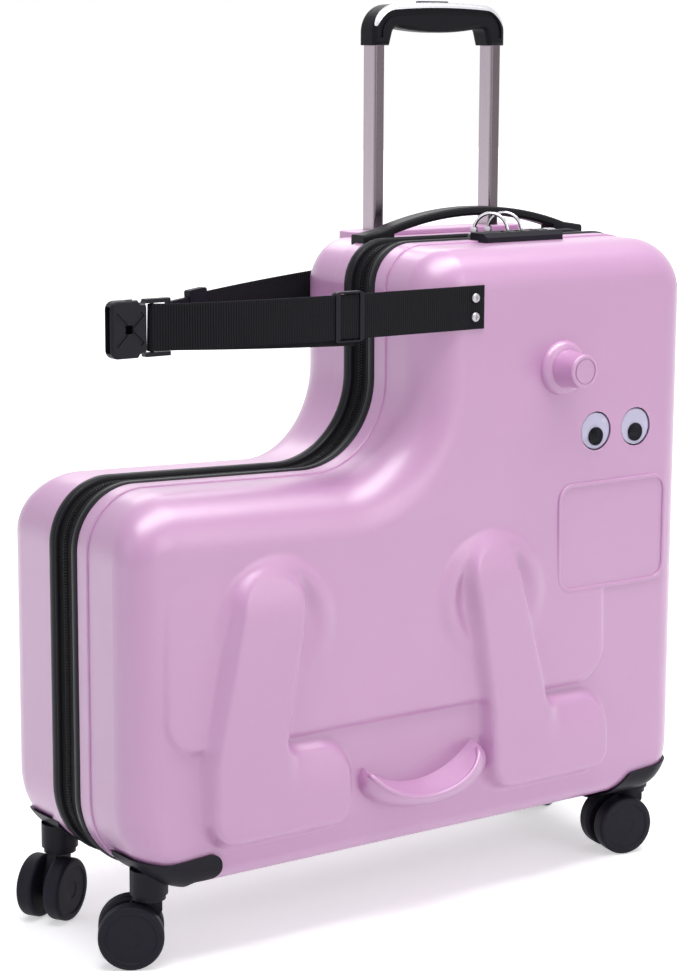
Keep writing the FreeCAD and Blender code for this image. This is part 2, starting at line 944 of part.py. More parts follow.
tape = cut("Tape", fuse("TapeAndCoil", [tape_outer, coil_outer]), tape_hole)
doc.recompute()

top = "case_top"
body_top = "case_top-lip_step"
recess_low = f"{body_top}-lock_sunk"
tray = box(
    "LockTray",
    "lock_length+2*(lock_slack+tray_wall)",
    "lock_width+lock_slack+tray_wall",
    "lock_sunk+tray_wall-root_depth",
    "lock_x-lock_length/2-lock_slack-tray_wall",
    "-lock_start-lock_width-lock_slack-tray_wall",
    f"{recess_low}-tray_wall",
)
lock_recess = box(
    "LockRecess",
    "lock_length+2*lock_slack",
    "lock_width+lock_slack+lock_start",
    "lock_sunk+2*lock_high",
    "lock_x-lock_length/2-lock_slack",
    "-lock_start-lock_width-lock_slack",
    recess_low,
)
node("near_shell", cut("NearShell", fuse("ShellWithTray", [half_shell, tray]), lock_recess))
tray_room = box(
    "TrayRoom",
    "lock_length+2*(lock_slack+tray_wall+lining_gap)",
    "lock_width+lock_start",
    "lock_sunk+4*tray_wall",
    "lock_x-lock_length/2-lock_slack-tray_wall-lining_gap",
    "-lock_start-lock_width-lock_slack-tray_wall-lining_gap",
    f"{recess_low}-tray_wall-lining_gap",
)
plate_room = box(
    "PlateRoom",
    "plate_length+6*plate_thick",
    "6*plate_thick",
    "plate_height+4*plate_thick",
    "belt_screw_x-plate_length*0.2-4*plate_thick",
    "-half_depth+wall-plate_thick",
    "belt_z-plate_height/2-2*plate_thick",
)
lining_with_plate_room = cut("LiningWithPlateRoom", lining, plate_room)
node("near_lining", cut("NearLining", lining_with_plate_room, tray_room))
node("near_piping", piping)
node("near_zip_tape", tape)

# Trolley: outer tubes through the far half, inner tubes, grip, trim, button, bezel and foot.
TUBE_SIDES = {"Rear": "trolley_x-trolley_spread/2", "Front": "trolley_x+trolley_spread/2"}


def tube_bar(name, x, grow, low, high):
    """A solid bar with the tube's rounded section, grown on every side."""
    bar = box(
        name + "Box",
        f"tube_length_x+2*({grow})",
        f"tube_length_y+2*({grow})",
        f"({high})-({low})",
        f"({x})-tube_length_x/2-({grow})",
        f"trolley_y-tube_length_y/2-({grow})",
        low,
    )
    return round_edges(name, bar, upright, f"tube_corner+({grow})")


foot_low = "ground_gap+lip_step+wall+lining_gap+lining_thick+lining_gap"
bezel_top = f"{top}+bezel_high"
outer_grow = "tube_slack+outer_wall"
slots = group(
    "TubeSlots",
    [
        tube_bar(
            "Slot" + side, x, f"{outer_grow}+seat_slack", f"{top}-4*bezel_low", f"{top}+4*bezel_low"
        )
        for side, x in TUBE_SIDES.items()
    ],
)
node("far_shell", cut("FarShell", mirror("FarHalf", half_shell), slots))
node("far_lining", cut("FarLining", mirror("FarLiningWhole", lining_with_plate_room), slots))
node("far_piping", mirror("FarPiping", piping))
node("far_zip_tape", mirror("FarTape", tape))

outer_tubes = []
inner_tubes = []
for side, x in TUBE_SIDES.items():
    solid = tube_bar("OuterBar" + side, x, outer_grow, f"{foot_low}+foot_floor", bezel_top)
    hollow = tube_bar(
        "OuterBore" + side, x, "tube_slack", f"{foot_low}", f"{bezel_top}+cut_over"
    )
    outer_tubes.append(cut("OuterTube" + side, solid, hollow))
    solid = tube_bar("InnerBar" + side, x, "0", "tube_low", "grip_low+tube_in_grip")
    hollow = tube_bar(
        "InnerBore" + side, x, "-tube_wall", "tube_low-cut_over", "grip_low+tube_in_grip+cut_over"
    )
    inner_tubes.append(cut("InnerTube" + side, solid, hollow))
node("trolley_outer_tubes", group("OuterTubes", outer_tubes))
node("trolley_inner_tubes", group("InnerTubes", inner_tubes))

clear_blank = case_blank("ClearBlank", "lip_step-fit_gap", "root_depth", "fit_gap")
clear_rim = case_slab("ClearRim", "-fit_gap", "root_depth", "lip_end+fit_gap")
clear_form = fuse("ClearForm", [clear_blank, clear_rim])
far_clear_form = mirror("FarClearForm", clear_form)

bezel_box = box(
    "BezelBox",
    "bezel_length",
    "bezel_depth",
    "bezel_low+bezel_high",
    "trolley_x-bezel_length/2",
    "trolley_y-bezel_depth/2",
    f"{top}-bezel_low",
)
bezel_corners = round_edges(
    "BezelCorners", bezel_box, upright, "bezel_corner"
)


def at_height(z):
    level = number(z)
    return lambda edge: all(abs(v.Point.z - level) < 0.01 for v in edge.Vertexes) and abs(
        middle(edge).z - level
    ) < 0.01


bezel_soft = round_edges("BezelSoft", bezel_corners, at_height(bezel_top), "bezel_soft")
bezel_on_shell = cut("BezelOnShell", bezel_soft, far_clear_form)
node("trolley_bezel", cut("TrolleyBezel", bezel_on_shell, slots))

foot_box = box(
    "FootBox",
    "foot_length",
    "foot_depth",
    "foot_high",
    "trolley_x-foot_length/2",
    "trolley_y-foot_depth/2",
    foot_low,
)
foot_pockets = group(
    "FootPockets",
    [
        tube_bar(
            "FootPocket" + side,
            x,
            f"{outer_grow}+seat_slack",
            f"{foot_low}+foot_floor",
            f"{foot_low}+2*foot_high",
        )
        for side, x in TUBE_SIDES.items()
    ],
)
doc.recompute()
foot_bevel = doc.addObject("Part::Chamfer", "FootBevel")
foot_bevel.Base = foot_box
foot_bevel.Edges = [
    (index, number("foot_bevel"), number("foot_bevel"))
    for index, edge in enumerate(foot_box.Shape.Edges, 1)
    if runs_along(edge, (1, 0, 0))
    and abs(middle(edge).z - number(foot_low)) < 0.01
    and abs(middle(edge).y - number("trolley_y+foot_depth/2")) < 0.01
]
node("trolley_foot", cut("TrolleyFoot", foot_bevel, foot_pockets))

grip_half = "grip_length/2"
grip_end = "grip_high-grip_crown"
grip_under = "grip_high-grip_bar"
grip_front = "trolley_y-grip_depth/2"
grip_back = "trolley_y+grip_depth/2"
crown_radius = f"(({grip_half})^2+grip_crown^2)/(2*grip_crown)"
under_half = f"({grip_half}-grip_shoulder)"
grip_body = extrusion(
    "GripOutline",
    "XZ_Plane",
    [
        [
            (f"-{grip_half}", "grip_low"),
            (f"-{grip_half}+grip_socket", "grip_low"),
            (f"-{under_half}", grip_under, f"({under_half}^2+grip_belly^2)/(2*grip_belly)", 1),
            (under_half, grip_under),
            (f"{grip_half}-grip_socket", "grip_low"),
            (grip_half, "grip_low"),
            (grip_half, grip_end, crown_radius, 1),
            (f"-{grip_half}", grip_end),
        ]
    ],
    "grip_depth",
    x="trolley_x",
    y=grip_back,
)
end_level = number(grip_end)
under_level = number(grip_under)
grip_corners = round_edges(
    "GripCorners",
    grip_body,
    lambda edge: across(edge) and abs(middle(edge).z - end_level) < 0.01,
    "grip_corner",
)
grip_inside = round_edges(
    "GripInside",
    grip_corners,
    lambda edge: across(edge) and abs(middle(edge).z - under_level) < 0.01,
    "grip_inner_round",
)
grip_soft = round_edges(
    "GripSoft",
    grip_inside,
    lambda edge: at_depth(grip_front)(edge) or at_depth(grip_back)(edge),
    "grip_soft",
)

# Trim: a strip let into the grip's front that follows its crown and turns down at both ends.
trim_half = f"({grip_half}-trim_inset)"
trim_inner_half = f"({grip_half}-trim_inset-trim_width)"
trim_top = f"{grip_end}-trim_inset"
trim_low = f"{grip_end}-trim_leg"
trim_flat = extrusion(
    "TrimOutline",
    "XZ_Plane",
    [
        [
            (f"-{trim_half}", trim_low),
            (f"-{trim_inner_half}", trim_low),
            (f"-{trim_inner_half}", f"{trim_top}-trim_width", f"{crown_radius}-trim_inset-trim_width", -1),
            (trim_inner_half, f"{trim_top}-trim_width"),
            (trim_inner_half, trim_low),
            (trim_half, trim_low),
            (trim_half, trim_top, f"{crown_radius}-trim_inset", 1),
            (f"-{trim_half}", trim_top),
        ]
    ],
    "trim_deep+trim_proud",
    x="trolley_x",
    y=f"{grip_front}+trim_deep",
)
trim_top_level = number(trim_top)
trim_inner_level = number(f"{trim_top}-trim_width")
trim_outside = round_edges(
    "TrimOutside",
    trim_flat,
    lambda edge: across(edge) and abs(middle(edge).z - trim_top_level) < 0.01,
    "grip_corner-trim_inset",
)
trim = round_edges(
    "Trim",
    trim_outside,
    lambda edge: across(edge) and abs(middle(edge).z - trim_inner_level) < 0.01,
    "grip_corner-trim_inset-trim_width",
)
node("trolley_grip_trim", trim)
tube_sockets = group(
    "TubeSockets",
    [
        tube_bar("Socket" + side, x, "seat_slack", "grip_low-cut_over", "grip_low+tube_in_grip")
        for side, x in TUBE_SIDES.items()
    ],
)
button_well = round_edges(
    "ButtonWell",
    box(
        "ButtonWellBox",
        "button_length+2*button_slack",
        "button_width+2*button_slack",
        "button_high+button_travel+button_slack",
        "trolley_x-button_length/2-button_slack",
        "trolley_y+button_width*0.2-button_width/2-button_slack",
        "grip_high+button_proud-button_high-button_travel-button_slack",
    ),
    upright,
    "button_corner+button_slack",
)
node(
    "trolley_grip",
    cut("TrolleyGrip", grip_soft, group("GripHoles", [trim, tube_sockets, button_well])),
)
button_box = round_edges(
    "ButtonCorners",
    box(
        "ButtonBox",
        "button_length",
        "button_width",
        "button_high",
        "trolley_x-button_length/2",
        "trolley_y+button_width*0.2-button_width/2",
        "grip_high+button_proud-button_high",
    ),
    upright,
    "button_corner",
)
node(
    "trolley_button",
    round_edges(
        "TrolleyButton", button_box, at_height("grip_high+button_proud"), "button_proud*0.6"
    ),
)

# Carry handle: two pads on the far half's top with a soft arch between them.
carry_low = f"{top}-carry_sink"
pad_top = f"{top}+carry_pad_high"
arch_start = "carry_rear+carry_pad*0.6"
arch_end = "carry_front-carry_pad*0.6"
carry_body = extrusion(
    "CarryOutline",
    "XZ_Plane",
    [
        [
            ("carry_rear", carry_low),
            ("carry_rear+carry_pad", carry_low),
            (
                "carry_rear+carry_pad",
                f"{pad_top}-carry_thick*0.5",
                "carry_arch_radius-carry_thick",
                -1,
            ),
            ("carry_front-carry_pad", f"{pad_top}-carry_thick*0.5"),
            ("carry_front-carry_pad", carry_low),
            ("carry_front", carry_low),
            ("carry_front", f"{pad_top}-carry_thick*0.4"),
            (arch_end, pad_top, "carry_arch_radius", 1),
            (arch_start, pad_top),
            ("carry_rear", f"{pad_top}-carry_thick*0.4"),
        ]
    ],
    "carry_width",
    y="carry_y+carry_width/2",
)
carry_soft = round_edges(
    "CarrySoft",
    carry_body,
    lambda edge: (at_depth("carry_y-carry_width/2")(edge) or at_depth("carry_y+carry_width/2")(edge))
    and middle(edge).z > number(top),
    "carry_soft",
)
node("carry_handle", cut("CarryHandle", carry_soft, far_clear_form))

# Lock with three dials and a release button, sunk into the near half's top.
lock_low = f"{recess_low}+lock_slack*0.5"
lock_top = f"{lock_low}+lock_high"
lock_front = "-lock_start-lock_width"
lock_box = box(
    "LockBox",
    "lock_length",
    "lock_width",
    "lock_high",
    "lock_x-lock_length/2",
    lock_front,
    lock_low,
)
doc.recompute()
lock_bevel = doc.addObject("Part::Chamfer", "LockBevel")
lock_bevel.Base = lock_box
lock_bevel.Edges = [
    (index, number("lock_bevel"), number("lock_bevel"))
    for index, edge in enumerate(lock_box.Shape.Edges, 1)
    if runs_along(edge, (1, 0, 0))
    and abs(middle(edge).z - number(lock_top)) < 0.01
    and abs(middle(edge).y - number(lock_front)) < 0.01
]
lock_ends = round_edges(
    "LockEnds", lock_bevel, upright, "lock_soft*2"
)
lock_soft = round_edges("LockSoft", lock_ends, at_height(lock_top), "lock_soft")
dial_y = "-dial_from_zip"
dial_z = f"{lock_top}+dial_proud-dial_radius"
DIALS = {"1": "lock_x-dial_pitch", "2": "lock_x", "3": "lock_x+dial_pitch"}
dial_wells = [
    box(
        "DialWell" + count,
        "dial_width+2*dial_slack",
        "2*(dial_radius+dial_slack)",
        "3*dial_radius",
        f"({x})-dial_width/2-dial_slack",
        f"{dial_y}-dial_radius-dial_slack",
        f"{dial_z}-dial_radius-dial_slack",
    )
    for count, x in DIALS.items()
]
release_well = box(
    "ReleaseWell",
    "release_length+2*dial_slack",
    "release_width+2*dial_slack",
    "release_high+release_travel+dial_slack",
    "lock_x+release_offset-release_length/2-dial_slack",
    f"{dial_y}-release_width/2-dial_slack",
    f"{lock_top}+release_proud-release_high-release_travel-dial_slack",
)
PULLS = {"Rear": "slider_rear_x", "Front": "slider_front_x"}
slider_low = f"{top}-tape_inset+coil_raise+slider_clear"
slider_top = f"{slider_low}+slider_high"
pull_low = f"{slider_top}+pull_eye+cheek_gap"
pull_slots = [
    box(
        "PullSlot" + side,
        "pull_slot",
        "pull_slot*0.8",
        "2*pull_slot_deep",
        f"{x}+pull_reach_x-pull_slot*0.5",
        "-pull_reach_y-pull_slot*0.4",
        f"{lock_top}-pull_slot_deep",
    )
    for side, x in PULLS.items()
]
lock_hollow = cut(
    "LockHollow", lock_soft, group("LockWells", dial_wells + [release_well] + pull_slots)
)
lock_pin = cylinder(
    "LockPin",
    "dial_pin",
    "2*dial_pitch+4*dial_width",
    "lock_x-dial_pitch-2*dial_width",
    dial_y,
    dial_z,
    (0, 1, 0),
    "90",
)
node("lock_body", fuse("LockBody", [lock_hollow, lock_pin]))
for count, x in DIALS.items():
    wheel = cylinder(
        "DialDisc" + count,
        "dial_radius",
        "dial_width",
        f"({x})-dial_width/2",
        dial_y,
        dial_z,
        (0, 1, 0),
        "90",
    )
    bore = cylinder(
        "DialBore" + count,
        "dial_pin+dial_fit",
        "3*dial_width",
        f"({x})-1.5*dial_width",
        dial_y,
        dial_z,
        (0, 1, 0),
        "90",
    )
    node("lock_dial_" + count, cut("LockDial" + count, wheel, bore))
node(
    "lock_release",
    round_edges(
        "LockRelease",
        box(
            "ReleaseBox",
            "release_length",
            "release_width",
            "release_high",
            "lock_x+release_offset-release_length/2",
            f"{dial_y}-release_width/2",
            f"{lock_top}+release_proud-release_high",
        ),
        at_height(f"{lock_top}+release_proud"),
        "release_proud*0.6",
    ),
)

# Zip sliders, each with cheeks and a pin that hold the eye of a bent wire pull.
pull_angle = "-atan2(pull_reach_y; pull_reach_x)"
pull_span = "sqrt(pull_reach_x^2+pull_reach_y^2)"
sliders = []
for side, x in PULLS.items():
    base = box(
        "SliderBase" + side,
        "slider_length",
        "slider_width",
        "slider_high",
        "-slider_length/2",
        "-slider_width/2",
        slider_low,
    )
    cheeks = [
        box(
            f"Cheek{side}{way}",
            "2*pull_eye",
            "cheek_thick",
            "2*pull_eye+2*cheek_gap",
            "-pull_eye",
            f"{sign}*(pull_eye_length/2+cheek_gap+cheek_thick/2)-cheek_thick/2",
            slider_top,
        )
        for way, sign in (("Left", "-1"), ("Right", "1"))
    ]
    pin = cylinder(
        "SliderPin" + side,
        "pull_pin",
        "pull_eye_length+2*cheek_gap+2*cheek_thick",
        "0",
        "pull_eye_length/2+cheek_gap+cheek_thick",
        pull_low,
        (1, 0, 0),
        "90",
    )
    whole = fuse("SliderWhole" + side, [base] + cheeks + [pin])
    sliders.append(turned("Slider" + side, whole, x, "0", "0", (0, 0, 1), pull_angle))
node("zip_sliders", group("ZipSliders", sliders))
for side, x in PULLS.items():
    ring = doc.addObject("Part::Torus", "PullRing" + side)
    bind(ring, "Radius1", f"{pull_span}/2")
    bind(ring, "Radius2", "pull_wire")
    ring.Angle3 = 180
    place(ring, f"{pull_span}/2", "0", pull_low, (1, 0, 0), "90")
    eye = cylinder(
        "PullEye" + side, "pull_eye", "pull_eye_length", "0", "pull_eye_length/2", pull_low,
        (1, 0, 0), "90",
    )
    bore = cylinder(
        "PullBore" + side, "pull_pin+pull_pin_fit", "3*pull_eye_length", "0", "1.5*pull_eye_length",
        pull_low, (1, 0, 0), "90",
    )
    pull = cut("PullWhole" + side, fuse("PullForm" + side, [ring, eye]), bore)
    node(
        "zip_pull_" + side.lower(),
        turned("ZipPull" + side, pull, x, "0", "0", (0, 0, 1), pull_angle),
    )

# Belts: strips padded upwards from their plan, with the near one's tail looped round the buckle's bar.
web_in = "-half_depth-web_gap"
web_out = "-half_depth-web_gap-web_thick"
belt_run = "(belt_left_x-belt_straight_x)"
belt_radius = f"(({belt_run}^2+belt_in^2)/(2*belt_in))"
near_strip = extrusion(
    "NearStrip",
    "XY_Plane",
    [
        [
            ("belt_end_x", web_in),
            ("belt_end_x", web_out),
            ("-belt_straight_x", web_out, belt_radius, -1),
            ("-belt_left_x", f"{web_out}+belt_in"),
            ("-belt_left_x", f"{web_in}+belt_in", f"{belt_radius}-web_thick", 1),
            ("-belt_straight_x", web_in),
        ]
    ],
    "web_width",
    z="belt_z-web_width/2",
)
tail_gap = "(2*loop_radius-web_thick)"
tail_in = f"{web_in}+{tail_gap}"
tail_out = f"{web_out}+{tail_gap}"
tail_flat = extrusion(
    "TailStrip",
    "XY_Plane",
    [
        [
            ("tail_length", tail_in),
            ("tail_length", tail_out),
            (f"{belt_run}", tail_out, belt_radius, -1),
            ("0", f"{tail_out}+belt_in"),
            ("0", f"{tail_in}+belt_in", f"{belt_radius}-web_thick", 1),
            (f"{belt_run}", tail_in),
        ]
    ],
    "web_width",
)
tail = turned(
    "Tail", tail_flat, "-belt_left_x", "0", "belt_z-web_width/2", (0, 1, 0), "tail_droop"
)
loop_tube = cylinder(
    "LoopTube", "loop_radius", "web_width", "-belt_left_x", f"{web_out}+belt_in+loop_radius",
    "belt_z-web_width/2",
)
loop_bore = cylinder(
    "LoopBore", "loop_radius-web_thick", "2*web_width", "-belt_left_x",
    f"{web_out}+belt_in+loop_radius", "belt_z-web_width",
)
loop_open = box(
    "LoopOpen",
    "2*loop_radius",
    "4*loop_radius",
    "2*web_width",
    "-belt_left_x",
    f"{web_out}+belt_in-loop_radius",
    "belt_z-web_width",
)
loop = cut("Loop", cut("LoopRing", loop_tube, loop_bore), loop_open)
near_belt = fuse("NearBeltWhole", [near_strip, tail, loop])
screw_holes = group(
    "ScrewHoles",
    [
        cylinder(
            "WebHole" + level, "screw_shank+screw_slack", "4*half_depth", "belt_screw_x",
            "2*half_depth", f"belt_z{sign}belt_screw_pitch/2", (1, 0, 0), "90",
        )
        for level, sign in (("High", "+"), ("Low", "-"))
    ],
)
node("near_belt", cut("NearBelt", near_belt, screw_holes))

far_run = "(far_belt_reach-plate_length/2)"
far_radius = f"(({far_run}^2+far_belt_in^2)/(2*far_belt_in))"
far_flat = extrusion(
    "FarStrip",
    "XY_Plane",
    [
        [
            ("belt_end_x-belt_screw_x", "half_depth+web_gap"),
            ("-plate_length/2", "half_depth+web_gap", f"{far_radius}-web_thick", 1),
            ("-far_belt_reach", "half_depth+web_gap-far_belt_in"),
            ("-far_belt_reach", "half_depth+web_gap+web_thick-far_belt_in", far_radius, -1),
            ("-plate_length/2", "half_depth+web_gap+web_thick"),
            ("belt_end_x-belt_screw_x", "half_depth+web_gap+web_thick"),
        ]
    ],
    "web_width",
    z="-web_width/2",
)
far_belt = turned(
    "FarBeltTurned", far_flat, "belt_screw_x", "0", "belt_z", (0, 1, 0), "-far_belt_droop"
)
node("far_belt", cut("FarBelt", far_belt, screw_holes))


def belt_fixings(name):
    """Two pan head screws and the plate behind them, as separate solids on the near side."""
    solids = []
    for level, sign in (("High", "+"), ("Low", "-")):
        z = f"belt_z{sign}belt_screw_pitch/2"
        head = cylinder(
            name + "Head" + level, "screw_head", "screw_head_high", "belt_screw_x",
            f"{web_out}-web_gap*0.5", z, (1, 0, 0), "90",
        )
        doc.recompute()
        outer = max(vertex.Point.y for vertex in head.Shape.Vertexes) - number("screw_head_high")
        domed = round_edges(name + "Dome" + level, head, at_depth(str(outer)), "screw_head_high*0.7")
        shank = cylinder(
            name + "Shank" + level, "screw_shank", "wall+web_thick+3*web_gap+2*plate_thick",
            "belt_screw_x", "-half_depth+wall+web_gap+1.5*plate_thick", z, (1, 0, 0), "90",
        )
        cross = fuse(
            name + "Cross" + level,
            [
                box(
                    name + "SlotA" + level, "screw_head", "screw_slot", "screw_slot*0.8",
                    "belt_screw_x-screw_head/2", f"{web_out}-web_gap*0.5-screw_head_high",
                    f"{z}-screw_slot*0.4",
                ),
                box(
                    name + "SlotB" + level, "screw_slot*0.8", "screw_slot", "screw_head",
                    "belt_screw_x-screw_slot*0.4", f"{web_out}-web_gap*0.5-screw_head_high",
                    f"{z}-screw_head/2",
                ),
            ],
        )
        solids.append(cut(name + "Screw" + level, fuse(name + "Solid" + level, [domed, shank]), cross))
    plate = box(
        name + "PlateBox", "plate_length", "plate_thick", "plate_height", "belt_screw_x-plate_length*0.2",
        "-half_depth+wall+web_gap", "belt_z-plate_height/2",
    )
    solids.append(cut(name + "Plate", plate, screw_holes))
    return group(name, solids)


near_fixings = belt_fixings("NearFixings")
node("near_belt_fixings", near_fixings)
node("far_belt_fixings", mirror("FarFixings", near_fixings))

adjuster_frame = extrusion(
    "AdjusterFrame",
    "XZ_Plane",
    [
        rectangle("-adjuster_length/2", "-adjuster_width/2", "adjuster_length/2", "adjuster_width/2"),
        rectangle(
            "-adjuster_bar/2-adjuster_slot",
            "-web_width/2-3*web_gap",
            "-adjuster_bar/2",
            "web_width/2+3*web_gap",
        ),
        rectangle(
            "adjuster_bar/2",
            "-web_width/2-3*web_gap",
            "adjuster_bar/2+adjuster_slot",
            "web_width/2+3*web_gap",
        ),
    ],
    "adjuster_thick",
)
adjuster_end = number("adjuster_length/2")
adjuster_ends = round_edges(
    "AdjusterEnds",
    adjuster_frame,
    lambda edge: across(edge) and abs(abs(middle(edge).x) - adjuster_end) < 0.01,
    "adjuster_bar",
)
adjuster_placed = turned(
    "AdjusterPlaced", adjuster_ends, "-adjuster_x", f"{web_in}+{tail_gap}-web_thick-3*web_gap", "belt_z"
)
web_room = box(
    "WebRoom",
    "4*adjuster_length",
    "web_thick+2*web_gap",
    "web_width+4*web_gap",
    "-adjuster_x-2*adjuster_length",
    f"{web_out}-web_gap",
    "belt_z-web_width/2-2*web_gap",
)
bar_front = box(
    "BarFront",
    "adjuster_bar+2*adjuster_slot",
    "adjuster_thick",
    "web_width+6*web_gap",
    "-adjuster_x-adjuster_bar/2-adjuster_slot",
    f"{web_in}-adjuster_thick",
    "belt_z-web_width/2-3*web_gap",
)
node("belt_adjuster", cut("Adjuster", adjuster_placed, group("WebRooms", [web_room, bar_front])))

# Socket half of the buckle, hung on the near belt's loop; its bar is at the local origin.
rail_gap = "web_width/2+buckle_bar*0.3"
socket_block = round_edges(
    "SocketCorners",
    box(
        "SocketBodyBox",
        "buckle_body",
        "buckle_thick",
        "buckle_width",
        "-buckle_slot-buckle_body",
        "-buckle_thick/2",
        "-buckle_width/2",
    ),
    across,
    "buckle_corner",
)
socket_body = round_edges(
    "SocketBodySoft",
    socket_block,
    lambda edge: at_depth("buckle_thick/2")(edge) or at_depth("-buckle_thick/2")(edge),
    "buckle_soft",
)
socket_rails = [
    round_edges(
        "SocketRail" + side,
        box(
            "SocketRailBox" + side,
            "buckle_length-buckle_body+buckle_corner*2",
            "buckle_frame_thick",
            f"buckle_width/2-({rail_gap})",
            "-buckle_slot-buckle_corner*2",
            "-buckle_frame_thick/2",
            low,
        ),
        lambda edge: upright(edge) and middle(edge).x > 0,
        "buckle_soft",
    )
    for side, low in (("High", rail_gap), ("Low", "-buckle_width/2"))
]
socket_bar = cylinder("SocketBar", "buckle_bar/2", "buckle_width-buckle_bar", "0", "0",
                      "-buckle_width/2+buckle_bar/2")
socket_mouth = box(
    "SocketMouth",
    "buckle_body*0.86",
    "buckle_mouth_thick",
    "buckle_mouth_width",
    "-buckle_slot-buckle_body-cut_over",
    "-buckle_mouth_thick/2",
    "-buckle_mouth_width/2",
)
socket_windows = [
    box(
        "SocketWindow" + side,
        "buckle_body*0.3",
        "buckle_mouth_thick",
        "buckle_width*0.3",
        "-buckle_slot-buckle_body*0.52",
        "-buckle_mouth_thick/2",
        low,
    )
    for side, low in (("High", "buckle_mouth_width*0.4"), ("Low", "-buckle_mouth_width*0.4-buckle_width*0.3"))
]
emboss_bars = [
    box(
        "EmbossBar" + side,
        "buckle_body*1.05",
        "2*buckle_emboss",
        "buckle_bar*1.2",
        f"-buckle_slot-buckle_body/2-buckle_body*0.525*cos({tilt})+buckle_bar*0.6*sin({tilt})",
        "-buckle_thick/2-buckle_emboss",
        f"-buckle_body*0.525*sin({tilt})-buckle_bar*0.6*cos({tilt})",
        (0, 1, 0),
        f"-({tilt})",
    )
    for side, tilt in (("Up", "45"), ("Down", "-45"))
]
emboss_hole = box(
    "EmbossHole",
    "buckle_bar*2",
    "buckle_thick/2",
    "buckle_bar*2",
    "-buckle_slot-buckle_body/2-buckle_bar",
    "-buckle_thick/2-buckle_emboss",
    "-buckle_bar",
)
socket_notches = [
    cylinder(
        "SocketNotch" + side, "buckle_notch", "2*buckle_thick", "-buckle_slot-buckle_notch", "buckle_thick",
        f"{sign}*buckle_width/2", (1, 0, 0), "90",
    )
    for side, sign in (("High", "1"), ("Low", "-1"))
]
socket_local = cut(
    "SocketLocal",
    fuse("SocketSolid", [socket_body, socket_bar] + socket_rails),
    group(
        "SocketHoles", [socket_mouth, emboss_hole] + socket_windows + socket_notches + emboss_bars
    ),
)
node(
    "buckle_socket",
    turned(
        "BuckleSocket",
        socket_local,
        "-belt_left_x",
        f"{web_out}+belt_in+loop_radius",
        "belt_z",
    ),
)

# Plug half on the far belt's end, in the flat frame of that belt and then drooped with it.
plug_turn = f"2*atan(far_belt_in/{far_run})"
plug_frame = round_edges(
    "PlugFrameSoft",
    box(
        "PlugFrameBox",
        "plug_frame",
        "buckle_frame_thick",
        "buckle_width",
        "-plug_frame*0.6",
        "-buckle_frame_thick/2",
        "-buckle_width/2",
    ),
    across,
    "buckle_soft",
)
plug_prongs = [
    box(
        "PlugProng" + side,
        "plug_reach+plug_frame*0.2",
        "plug_thick",
        high,
        "-plug_frame*0.4-plug_reach-plug_frame*0.2",
        "-plug_thick/2",
        low,
    )
    for side, low, high in (
        ("Low", "-buckle_mouth_width/2+buckle_bar*0.4", "plug_prong"),
        ("Mid", "-plug_prong/2", "plug_prong"),
        ("High", "buckle_mouth_width/2-buckle_bar*0.4-plug_prong", "plug_prong"),
    )
]
plug_slot = box(
    "PlugSlot",
    "plug_frame",
    "web_thick+4*web_gap",
    "web_width+4*web_gap",
    "-web_thick",
    "-web_thick/2-2*web_gap",
    "-web_width/2-2*web_gap",
)
plug_local = cut("PlugLocal", fuse("PlugSolid", [plug_frame] + plug_prongs), plug_slot)
plug_flat = turned(
    "PlugFlat",
    plug_local,
    "-far_belt_reach",
    "half_depth+web_gap-far_belt_in+web_thick/2",
    "0",
    (0, 0, 1),
    plug_turn,
)
node(
    "buckle_plug",
    turned("BucklePlug", plug_flat, "belt_screw_x", "0", "belt_z", (0, 1, 0), "-far_belt_droop"),
)

# Eyes: white back in the socket, clear dome over it, loose pupil between them.
EYES = {"Rear": "eye_rear_x", "Front": "eye_front_x"}
socket_floor = "-half_depth+eye_socket_deep-pupil_gap*0.1"
back_face = f"{socket_floor}-eye_back_thick"
eye_backs = []
eye_lenses = []
dome_inner = "(eye_dome-eye_wall*0.5)"
lens_inner = "(eye_radius-eye_wall)"
for side, x in EYES.items():
    eye_backs.append(
        cylinder("EyeBack" + side, "eye_radius", "eye_back_thick", x, socket_floor, "eye_z", (1, 0, 0), "90")
    )
    lens = new_body("EyeLens" + side)
    sketch = outline(
        lens,
        f"EyeLens{side}Outline",
        "XY_Plane",
        [
            (lens_inner, "0"),
            (lens_inner, "-eye_side", f"({lens_inner}^2+{dome_inner}^2)/(2*{dome_inner})", -1),
            ("0", f"-eye_side-{dome_inner}"),
            ("0", "-eye_side-eye_wall-eye_dome", "(eye_radius^2+eye_dome^2)/(2*eye_dome)", 1),
            ("eye_radius", "-eye_side-eye_wall"),
            ("eye_radius", "0"),
        ],
    )
    revolve(lens, f"EyeLens{side}Turn", sketch, "Y_Axis")
    eye_lenses.append(place(lens, x, back_face, "eye_z"))
    pupil = cylinder(
        "Pupil" + side, "pupil_radius", "pupil_thick", x, f"{back_face}-pupil_gap", "eye_z-pupil_low",
        (1, 0, 0), "90",
    )
    node("near_eye_pupil_" + side.lower(), pupil)
    node("far_eye_pupil_" + side.lower(), mirror("FarPupil" + side, pupil))
near_backs = group("EyeBacks", eye_backs)
near_lenses = group("EyeLenses", eye_lenses)
node("near_eye_backs", near_backs)
node("near_eye_lenses", near_lenses)
node("far_eye_backs", mirror("FarEyeBacks", near_backs))
node("far_eye_lenses", mirror("FarEyeLenses", near_lenses))

